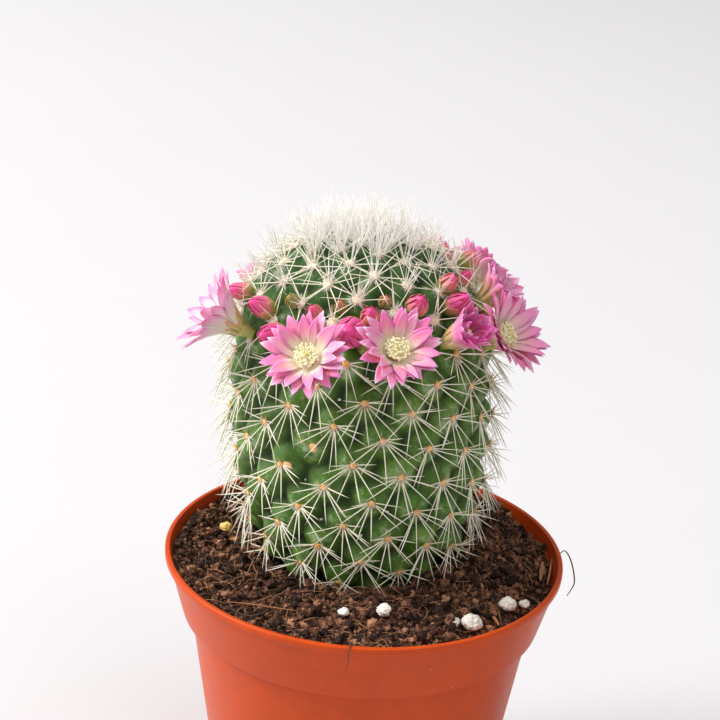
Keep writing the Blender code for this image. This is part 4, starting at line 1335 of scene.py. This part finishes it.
def build_crown(spines):
    """The brush of upright spines over the youngest areoles."""
    rng = np.random.default_rng(8)
    young = np.flatnonzero(OUTLINE.height > 60 * MM)
    index = np.repeat(young, np.where(OUTLINE.height[young] > BRUSH_FROM, 52, 7))
    number = len(index)
    fade = np.clip((OUTLINE.height[index] - 58 * MM) / (7 * MM), 0, 1)
    turn = rng.uniform(0, math.tau, number)
    any_way, upright = rng.uniform(0, 90, number), rng.uniform(48, 90, number)
    rise = np.radians(np.where(OUTLINE.height[index] > BRUSH_FROM, any_way, upright))
    out = OUTLINE.outward[index]
    side = OUTLINE.upward[index] * np.cos(turn)[:, None] + OUTLINE.sideways[index] * np.sin(turn)[:, None]
    heading = unit(side * np.cos(rise)[:, None] + out * np.sin(rise)[:, None]
                   + np.array([0, 0, 0.6]) * fade[:, None])
    top = BRUSH_TOP + rng.normal(0, 0.8 * MM, number)
    start = OUTLINE.place[index] + side * 1.1 * MM * rng.uniform(0, 1, (number, 1)) - out * 0.5 * MM
    reach = spines.brush * rng.uniform(0.55, 1.0, number) * (0.75 + 0.25 * fade)
    lift = np.maximum(heading[:, 2], 0.05)
    reach = np.minimum(reach, (top - start[:, 2]) / lift)
    inward = -start * [1, 1, 0] * 6  # the further out a spine stands, the more it bends inwards
    t = steps_along(6)
    drift = inward + rng.normal(0, 0.10, (number, 3))
    paths = start[:, None] + (heading[:, None] * t + drift[:, None] * t**2 * 0.35) * reach[:, None, None]
    white = strand_material("brush_white", linear(254, 244, 228), linear(255, 254, 250),
                            linear(254, 228, 200), 0.25, 0.55)
    add_spines("crown_brush", paths, spines.radius * rng.uniform(0.45, 0.82, number), white, rng)


def build_wool(spines, skin_points, skin_depth):
    """A pad with short wool on each areole, flecks in the axils and the scars of two lost areoles."""
    rng = np.random.default_rng(17)
    height = OUTLINE.height
    shown = np.flatnonzero(height > -1 * MM)
    dome = np.clip((height - 48 * MM) / (9 * MM), 0, 1)
    points, faces = icosphere(2)
    old, young, scars = Shape(), Shape(), Shape()
    for place in shown:
        scar = OUTLINE.index[place] in SCARS
        size = OUTLINE.size[place]
        radius = (0.80 if scar else 0.68 + 0.58 * dome[place]) * MM * (0.55 + 0.45 * size)
        bumps = 1 + 0.22 * field(points, 0.45, 3.7 * place, 2)
        local = points * bumps[:, None] * [radius, radius * (1.25 if scar else 1.0), 0.45 * radius]
        target = scars if scar else young if dome[place] > 0.5 else old
        aside = OUTLINE.outward[place] * 0.12 * MM + OUTLINE.sideways[place] * SCAR_ASIDE * scar
        target.add(local @ OUTLINE.axes(place).T + OUTLINE.place[place] + aside, faces.tolist())
    second = OUTLINE.place[SCAR_BESIDE] + OUTLINE.upward[SCAR_BESIDE] * 0.3 * MM \
        + OUTLINE.sideways[SCAR_BESIDE] * SCAR_ASIDE
    flat = points * [1.15 * MM, 0.7 * MM, 0.35 * MM]
    scars.add(flat @ OUTLINE.axes(SCAR_BESIDE).T + second, faces.tolist())
    brown = pad_material("areole_pad_old", spines.pad, linear(242, 164, 86))
    cream = pad_material("areole_pad_young", spines.wool, linear(226, 204, 162))
    peach = pad_material("areole_scar", linear(250, 208, 150), linear(222, 160, 100))
    old.finish("areole_pads_old", [brown], "wood_fibre")
    young.finish("areole_pads_young", [cream], "perlite")
    scars.finish("areole_scars", [peach], "wood_fibre")

    index = np.concatenate([np.repeat(place, 30 + int(54 * dome[place])) for place in shown
                            if OUTLINE.index[place] not in SCARS])
    number = len(index)
    new = dome[index]
    turn = rng.uniform(0, math.tau, number)
    turn = np.where(new < 0.5, math.pi + rng.normal(0, 0.7, number), turn)
    rise = np.radians(rng.uniform(10, 75, number))
    reach = (1.3 + 0.8 * new) * MM * rng.uniform(0.5, 1.15, number) * (0.5 + 0.5 * OUTLINE.size[index])
    paths = spine_paths(rng, index, turn, rise, reach, 0.5, 4)
    white = strand_material("wool_white", spines.wool, linear(254, 250, 242), linear(244, 226, 200),
                            0.2, 0.3, 0.8)
    shape = Shape()
    radii = rng.uniform(0.05, 0.085, (number, 1)) * MM * np.array([1, 0.9, 0.7, 0.3])
    shape.add_tubes(strand_rings(paths, radii, 3), along=steps_along(4), tone=tones(rng, number))
    shape.finish("areole_wool", [white], "perlite")

    # Short tan spines on the upper side of the older areoles
    stubs = np.repeat(np.flatnonzero((height > 0) & (dome < 0.4)), 4)
    number = len(stubs)
    paths = spine_paths(rng, stubs, rng.normal(0, 0.65, number), np.radians(rng.uniform(25, 70, number)),
                        rng.uniform(0.8, 2.6, number) * MM, 0.2, 4)
    tan = strand_material("stub_tan", spines.pad, linear(220, 180, 120), linear(150, 90, 44), 0.3, 0.8)
    add_spines("upper_stubs", paths, rng.uniform(0.07, 0.13, number) * MM, tan, rng)
    axil_wool(rng, skin_points, skin_depth, white)


def axil_wool(rng, points, depth, material):
    """A few white flecks of wool in the axils between the tubercles."""
    flat, sink = points.reshape(-1, 3), depth.ravel()
    ball, faces = icosphere(2)
    shape = Shape()
    for place in np.flatnonzero((OUTLINE.height > 4 * MM) & (OUTLINE.height < 56 * MM)):
        offset = flat - OUTLINE.place[place]
        up, side = offset @ OUTLINE.upward[place], offset @ OUTLINE.sideways[place]
        near = (up > 3 * MM) & (up < 7 * MM) & (np.abs(side) < 2 * MM) \
            & (np.abs(offset @ OUTLINE.outward[place]) < 8 * MM)
        if not near.any() or rng.uniform() < 0.55:
            continue
        found = np.flatnonzero(near)[sink[near].argmax()]  # the deepest place over the tubercle
        dents = (1 + 0.5 * field(ball, 0.4, 1.9 * place, 2))[:, None]
        grain = ball * dents * rng.uniform(0.2, 0.42, 3) * MM
        centre = flat[found] + OUTLINE.outward[place] * 0.15 * MM
        shape.add(centre + grain, faces.tolist(), along=0.5, tone=0.9)
    shape.finish("axil_wool", [material], "perlite")


# ---------------------------------------------------------------- flowers and buds

PETAL_ROWS = 13  # points along a petal


def petal_whorl(rng, number, start, length, spread, width):
    """Centre lines, side directions and half widths of a whorl of petals round the Z axis."""
    around = start + math.tau * (np.arange(number) + rng.normal(0, 0.13, number)) / number
    spread = spread + rng.normal(0, 0.07, number)
    length = length * rng.uniform(0.88, 1.06, number)
    ray = np.stack([np.cos(around), np.sin(around), 0 * around], -1)
    side = np.stack([-np.sin(around), np.cos(around), 0 * around], -1)
    up = np.array([0, 0, 1.0])

    def at(radius, height):
        radius, height = (np.broadcast_to(value, number)[:, None] for value in (radius, height))
        return ray * radius + up * height

    reach, lift = length * np.sin(spread), length * np.cos(spread)
    gather = 0.62 * np.clip(1 - spread / math.radians(26), 0, 1)  # how far a young flower's tips close
    curve = rng.normal(0, 0.05, number)
    line = bezier((at(1.5 * MM, -2.4 * MM), at(2.3 * MM, -0.2 * MM),
                   at(THROAT + 0.42 * reach, (0.62 + curve) * lift + 0.35 * MM),
                   at((THROAT + reach) * (1 - gather), lift + rng.normal(0, 0.35, number) * MM)), PETAL_ROWS)
    t = np.linspace(0, 1, PETAL_ROWS)
    sway = rng.normal(0, 0.05, number)[:, None] * t**2 * length[:, None]
    line = line + side[:, None] * sway[..., None]
    twist = rng.normal(0, 0.16, number)[:, None] * t
    along = unit(np.gradient(line, axis=1))
    over = np.cross(along, side[:, None])
    across = side[:, None] * np.cos(twist)[..., None] + over * np.sin(twist)[..., None]
    outline = np.interp(t, [0, 0.2, 0.42, 0.6, 0.75, 0.87, 0.95, 1.0],
                        [0.42, 0.62, 0.9, 1.0, 0.84, 0.54, 0.26, 0.03])
    half = width / 2 * rng.uniform(0.88, 1.1, number)[:, None] * outline
    return line, across, half


def place_rings(rings, facts):
    """Rings of the flower's own frame, in the plant's frame."""
    return rings @ facts["turn"].T + facts["head"]


def build_flower(number, facts, settings, materials):
    """A corolla of two whorls and a few inner petals, with sepals on its tube."""
    rng = np.random.default_rng(100 + number)
    spread, petal = facts["spread"], facts["petal"]
    closed = spread < math.radians(35)
    shape = Shape()
    whorls = ((settings.outer, 0.0, petal * 1.03, spread + 0.09, settings.width),
              (settings.inner, 0.26, petal * 0.97, spread - 0.10, settings.width * 0.94),
              (5, 0.1, petal * 0.9, spread * 0.84, settings.width * 0.8))
    for layer, (petals, start, reach, open_by, width) in enumerate(whorls):
        line, across, half = petal_whorl(rng, petals, start, reach, open_by, width)
        rings, over = blade_rings(line, across, half, 0.22 if not closed else 0.5, 0.11 * MM)
        shape.add_tubes(place_rings(rings, facts), 0, along=steps_along(PETAL_ROWS), over=over,
                        tone=tones(rng, petals),
                        depth=FLOWER_DEPTH[number - 1] * (1 if layer else 0.85),
                        pale=FLOWER_PALENESS_AND_HIGHLIGHT[number - 1] * (1 if layer else 0.6))
    line, across, half = petal_whorl(rng, 9, 0.15, petal * 0.62, spread * 0.86, 1.7 * MM)
    # The sepals lie close under the petals
    line = line + unit(line * [1, 1, 0]) * 0.28 * MM - np.array([0, 0, 0.30 * MM])
    rings, over = blade_rings(line, across, half, 0.25, 0.13 * MM)
    shape.add_tubes(place_rings(rings, facts), 1, along=0.25 + 0.75 * steps_along(PETAL_ROWS),
                    over=over, tone=tones(rng, 9))
    # The tube bends up from the axil to the throat, which is a cup of its own
    foot = (facts["foot"] - facts["head"]) @ facts["turn"]
    path = bezier((foot[None], foot[None] * 0.6 + [[0, 0, -0.6 * MM]], np.array([[0, 0, -3.4 * MM]]),
                   np.array([[0, 0, -1.2 * MM]])), 14)
    t = np.linspace(0, 1, 14)
    radii = np.interp(t, [0, 0.3, 0.7, 1.0], [1.0, 1.25, 1.7, 2.15]) * MM
    rings = strand_rings(path, radii[None], 20)
    shape.add_tubes(place_rings(rings, facts), 1, along=0.55 * t[None, :, None], over=0.0, tone=0.5)
    sides = 24
    turn = math.tau * np.arange(sides) / sides
    cup = np.array(((1.1, -2.3), (1.75, -1.7), (2.35, -0.6), (2.2, -0.5), (1.5, -1.3), (0.5, -1.75))) * MM
    rings = np.stack([cup[:, :1] * np.cos(turn), cup[:, :1] * np.sin(turn), cup[:, 1:] + 0 * turn], -1)
    shape.add_tubes(place_rings(rings[None], facts), 0, along=0.05, over=0.0, tone=0.5,
                    depth=FLOWER_DEPTH[number - 1], pale=0.0)
    shape.finish(f"corolla_{number:02d}", materials, "petals", [f"flower_{number:02d}"])


def build_stamens(number, facts, settings, material):
    """A tuft of filaments with their anthers, round a style with its stigma lobes."""
    rng = np.random.default_rng(200 + number)
    stamens = settings.stamens
    open_by = min(1.0, facts["spread"] / math.radians(60))
    order = np.arange(stamens) + 0.5
    reach = np.sqrt(order / stamens) * 2.45 * MM * (0.55 + 0.45 * open_by)
    around = GOLDEN_ANGLE * order
    anther = np.stack([reach * np.cos(around), reach * np.sin(around),
                       1.75 * MM - 0.35 * (reach / MM)**2 / 2.4 * MM * 0.5
                       + rng.normal(0, 0.22 * MM, stamens)], -1)
    anther[:, :2] += rng.normal(0, 0.12 * MM, (stamens, 2))
    start = np.stack([0.45 * reach * np.cos(around), 0.45 * reach * np.sin(around),
                      np.full(stamens, -1.6 * MM)], -1)
    middle = (start + anther) / 2 + np.stack([-0.1 * anther[:, 0], -0.1 * anther[:, 1], 0 * reach], -1)
    paths = bezier((start, middle, middle * 0.4 + anther * 0.6, anther), 5)
    shape = Shape()
    shape.add_tubes(place_rings(strand_rings(paths, 0.075 * MM * np.ones((1, 5)), 4), facts), part=0.0)
    points, faces = icosphere(2)
    grains = points * [0.19 * MM, 0.19 * MM, 0.30 * MM]
    turns = random_turns(rng, stamens)
    placed = np.einsum("pk,njk->npj", grains, turns) * rng.uniform(0.85, 1.2, (stamens, 1, 1))
    placed = place_rings(placed + anther[:, None], facts)
    shape.add(placed, copies_of(faces, stamens, len(points)), part=1.0)
    # A pale bed under the anthers fills the gaps between the filaments. It is painted light: the gaps show
    # cream where their shadow would fall
    bed = points * [0.78 * reach[-1], 0.78 * reach[-1], 1.0 * MM] + [0, 0, 0.35 * MM]
    shape.add(place_rings(bed, facts), faces.tolist(), part=0.0)
    style = bezier((np.array([[0, 0, -2.0 * MM]]), np.array([[0, 0, -0.5 * MM]]),
                    np.array([[0.1 * MM, 0, 1.0 * MM]]), np.array([[0.1 * MM, 0.1 * MM, 2.0 * MM]])), 5)
    shape.add_tubes(place_rings(strand_rings(style, 0.2 * MM * np.ones((1, 5)), 6), facts), part=2.0)
    lobes = np.arange(5) * math.tau / 5
    tips = np.stack([0.5 * MM * np.cos(lobes), 0.5 * MM * np.sin(lobes), np.full(5, 2.25 * MM)], -1)
    root = np.repeat([[0.1 * MM, 0.1 * MM, 1.85 * MM]], 5, 0)
    paths = bezier((root, root * 0.6 + tips * 0.4 + [0, 0, 0.2 * MM], tips, tips), 4)
    radii = np.array([[0.12, 0.12, 0.10, 0.05]]) * MM
    shape.add_tubes(place_rings(strand_rings(paths, radii, 5), facts), part=2.0)
    shape.finish(f"stamen_tuft_{number:02d}", [material], "anthers", [f"stamens_{number:02d}"])


def build_bud(number, facts, settings, material):
    """A closed bud: petals wound over one another round a core, with short sepals at the foot."""
    rng = np.random.default_rng(300 + number)
    redness = BUD_REDNESS[number - 1]
    reach, width = facts["length"], facts["width"]
    turn = frame_of(facts["axis"])
    rows, columns = 13, 9
    t = np.linspace(0, 1, rows)
    profile = np.interp(t, [0, 0.12, 0.3, 0.5, 0.7, 0.88, 0.97, 1.0],
                        [0.62, 0.82, 0.98, 1.0, 0.84, 0.48, 0.2, 0.05]) * width / 2

    def on_bud(around, along, radius):
        return np.stack([radius * np.cos(around), radius * np.sin(around),
                         (along - 0.5) * reach + 0 * radius], -1)

    shape = Shape()
    sides = 20
    core = on_bud(np.arange(sides)[None] * math.tau / sides + 0 * t[:, None], t[:, None],
                  0.86 * profile[:, None] + np.zeros((1, sides)))
    shape.add_tubes((core @ turn.T + facts["middle"])[None], along=t[None, :, None], over=0.0, tone=0.4,
                    red=redness)
    place, bulge = blade_section(columns)
    taper = np.interp(t, [0, 0.3, 0.6, 0.85, 1], [0.75, 1.0, 0.92, 0.5, 0.05])
    for layer, (petals, low, high, size) in enumerate(((settings.petals, 0.10, 1.0, 1.0),
                                                       (6, 0.0, 0.62, 1.06))):
        for index in range(petals):
            start = math.tau * (index + 0.5 * layer) / petals + rng.normal(0, 0.08)
            top = high - (0.0 if index % 2 else 0.10) - rng.uniform(0, 0.05)
            along = low + (top - low) * t
            twist = 0.75 * along * (1 - 0.5 * layer)
            wide = taper * 2.3 * math.pi / petals / 2
            around = start + twist[:, None] + wide[:, None] * place
            stand = (0.93 + 0.05 * place * (1 - layer)) * size
            radius = np.interp(along, t, profile)[:, None] * stand + 0.10 * MM + 0.07 * MM * bulge \
                + (0.10 * width * t**6)[:, None] * (1 - layer)
            rings = on_bud(around, along[:, None], radius)[:, ::-1]
            shape.add_tubes((rings @ turn.T + facts["middle"])[None], along=along[None, :, None],
                            over=place[::-1][None, None], tone=rng.uniform(),
                            red=redness * (0.75 if layer else 1.0))
    shape.finish(f"flower_bud_{number:02d}", [material], "bud_skin", [f"bud_{number:02d}"])


# ---------------------------------------------------------------- stage

CAMERA_PLACE = Vector((0, -0.37301, 0.26503))
CAMERA_RIGHT = Vector((0.99783, 0.03222, 0.05736))
CAMERA_UP = Vector((-0.06524, 0.37149, 0.92614))
KEY_PLACE, FILL_PLACE = (-2.2, 0.0, 2.1), (0.9, -1.1, 2.7)


def area_light(name, place, power):
    """A round soft light that looks at the middle of the plant."""
    light = bpy.data.lights.new(name, "AREA")
    light.shape, light.size, light.energy = "DISK", 2.0, power
    made = linked(name, light)
    made.location = place
    made.rotation_euler = (Vector((0, 0, 0.08)) - Vector(place)).to_track_quat("-Z", "Y").to_euler()


def build_stage(stage):
    """A pale floor, a key light from the left, a fill from above, soft light all round, and the camera."""
    bm = bmesh.new()
    bmesh.ops.create_circle(bm, cap_ends=True, segments=96, radius=stage.floor_radius)
    mesh = mesh_from("floor", bm)
    mesh.materials.append(floor_material(stage))
    linked("stage_floor", mesh)

    area_light("key_light", KEY_PLACE, stage.key)
    area_light("fill_light", FILL_PLACE, stage.fill)
    world = bpy.data.worlds.new("studio")
    world.use_nodes = True
    background = world.node_tree.nodes["Background"]
    background.inputs["Color"].default_value = (*linear(250, 250, 252), 1)
    background.inputs["Strength"].default_value = stage.sky
    scene = bpy.context.scene
    scene.world = world
    scene.view_settings.view_transform = "Standard"

    lens = bpy.data.cameras.new("camera")
    lens.lens, lens.sensor_width = stage.lens, 36
    lens.clip_start, lens.clip_end = 0.01, 50
    camera = linked("camera", lens)
    back = CAMERA_RIGHT.cross(CAMERA_UP)
    camera.matrix_world = Matrix.Translation(CAMERA_PLACE) @ Matrix(
        (CAMERA_RIGHT, CAMERA_UP, back)).transposed().to_4x4()
    scene.camera = camera


# ---------------------------------------------------------------- operators and panel

def numbers(prefix):
    return range(1, 1 + sum(name.startswith(prefix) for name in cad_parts))


class CACTUS_OT_pot(Operator):
    """Build the plastic pot"""
    bl_idname = "cactus.pot"
    bl_label = "Pot"

    def execute(self, context):
        build_pot(context.scene.cactus_pot)
        return {"FINISHED"}


class CACTUS_OT_soil(Operator):
    """Build the soil with its crumbs, fibres, perlite grains and splinters"""
    bl_idname = "cactus.soil"
    bl_label = "Soil"

    def execute(self, context):
        soil = context.scene.cactus_soil
        tree, ground = build_soil(soil, context.scene.cactus_pot)
        build_fibres(soil, tree, ground)
        build_crumbs(soil)
        return {"FINISHED"}


class CACTUS_OT_stem(Operator):
    """Build the stem with its tubercles, areole pads and wool"""
    bl_idname = "cactus.stem"
    bl_label = "Stem"

    def execute(self, context):
        points, depth = build_skin(context.scene.cactus_skin)
        build_wool(context.scene.cactus_spines, points, depth)
        return {"FINISHED"}


class CACTUS_OT_spines(Operator):
    """Build the spines of the body and of the crown"""
    bl_idname = "cactus.spines"
    bl_label = "Spines"

    def execute(self, context):
        spines = context.scene.cactus_spines
        flowers = [flower_facts(number) for number in numbers("flower_")]
        buds = [bud_facts(number) for number in numbers("bud_")]
        build_spines(spines, flowers, buds)
        build_crown(spines)
        return {"FINISHED"}


class CACTUS_OT_flowers(Operator):
    """Build the open flowers and their stamens"""
    bl_idname = "cactus.flowers"
    bl_label = "Flowers"

    def execute(self, context):
        settings = context.scene.cactus_flowers
        materials = [petal_material(settings), tube_material()]
        powder = stamen_material(settings)
        for number in numbers("flower_"):
            facts = flower_facts(number)
            build_flower(number, facts, settings, materials)
            build_stamens(number, facts, settings, powder)
        return {"FINISHED"}


class CACTUS_OT_buds(Operator):
    """Build the closed buds"""
    bl_idname = "cactus.buds"
    bl_label = "Buds"

    def execute(self, context):
        settings = context.scene.cactus_buds
        material = bud_material(settings)
        for number in numbers("bud_"):
            build_bud(number, bud_facts(number), settings, material)
        return {"FINISHED"}


class CACTUS_OT_stage(Operator):
    """Set out the floor, the lights and the camera"""
    bl_idname = "cactus.stage"
    bl_label = "Stage"

    def execute(self, context):
        build_stage(context.scene.cactus_stage)
        return {"FINISHED"}


class CACTUS_PT_pieces(Panel):
    """Lists the pieces of the cactus and the settings of each"""
    bl_idname = "CACTUS_PT_pieces"
    bl_label = "Potted round cactus"
    bl_space_type = "VIEW_3D"
    bl_region_type = "UI"
    bl_category = "Cactus"

    def draw(self, context):
        for operator, holder, kind in PIECES:
            box = self.layout.box()
            box.operator(operator.bl_idname)
            for name in kind.__annotations__:
                box.prop(getattr(context.scene, holder), name)


PIECES = (
    (CACTUS_OT_pot, "cactus_pot", PotSettings),
    (CACTUS_OT_soil, "cactus_soil", SoilSettings),
    (CACTUS_OT_stem, "cactus_skin", SkinSettings),
    (CACTUS_OT_spines, "cactus_spines", SpineSettings),
    (CACTUS_OT_flowers, "cactus_flowers", FlowerSettings),
    (CACTUS_OT_buds, "cactus_buds", BudSettings),
    (CACTUS_OT_stage, "cactus_stage", StageSettings),
)


def register():
    for operator, holder, kind in PIECES:
        bpy.utils.register_class(kind)
        bpy.utils.register_class(operator)
        setattr(bpy.types.Scene, holder, PointerProperty(type=kind))
    bpy.utils.register_class(CACTUS_PT_pieces)


def unregister():
    bpy.utils.unregister_class(CACTUS_PT_pieces)
    for operator, holder, kind in reversed(PIECES):
        delattr(bpy.types.Scene, holder)
        bpy.utils.unregister_class(operator)
        bpy.utils.unregister_class(kind)


def main():
    register()
    for operator, _, _ in PIECES:
        family, name = operator.bl_idname.split(".")
        getattr(getattr(bpy.ops, family), name)()


if __name__ == "__main__":
    main()
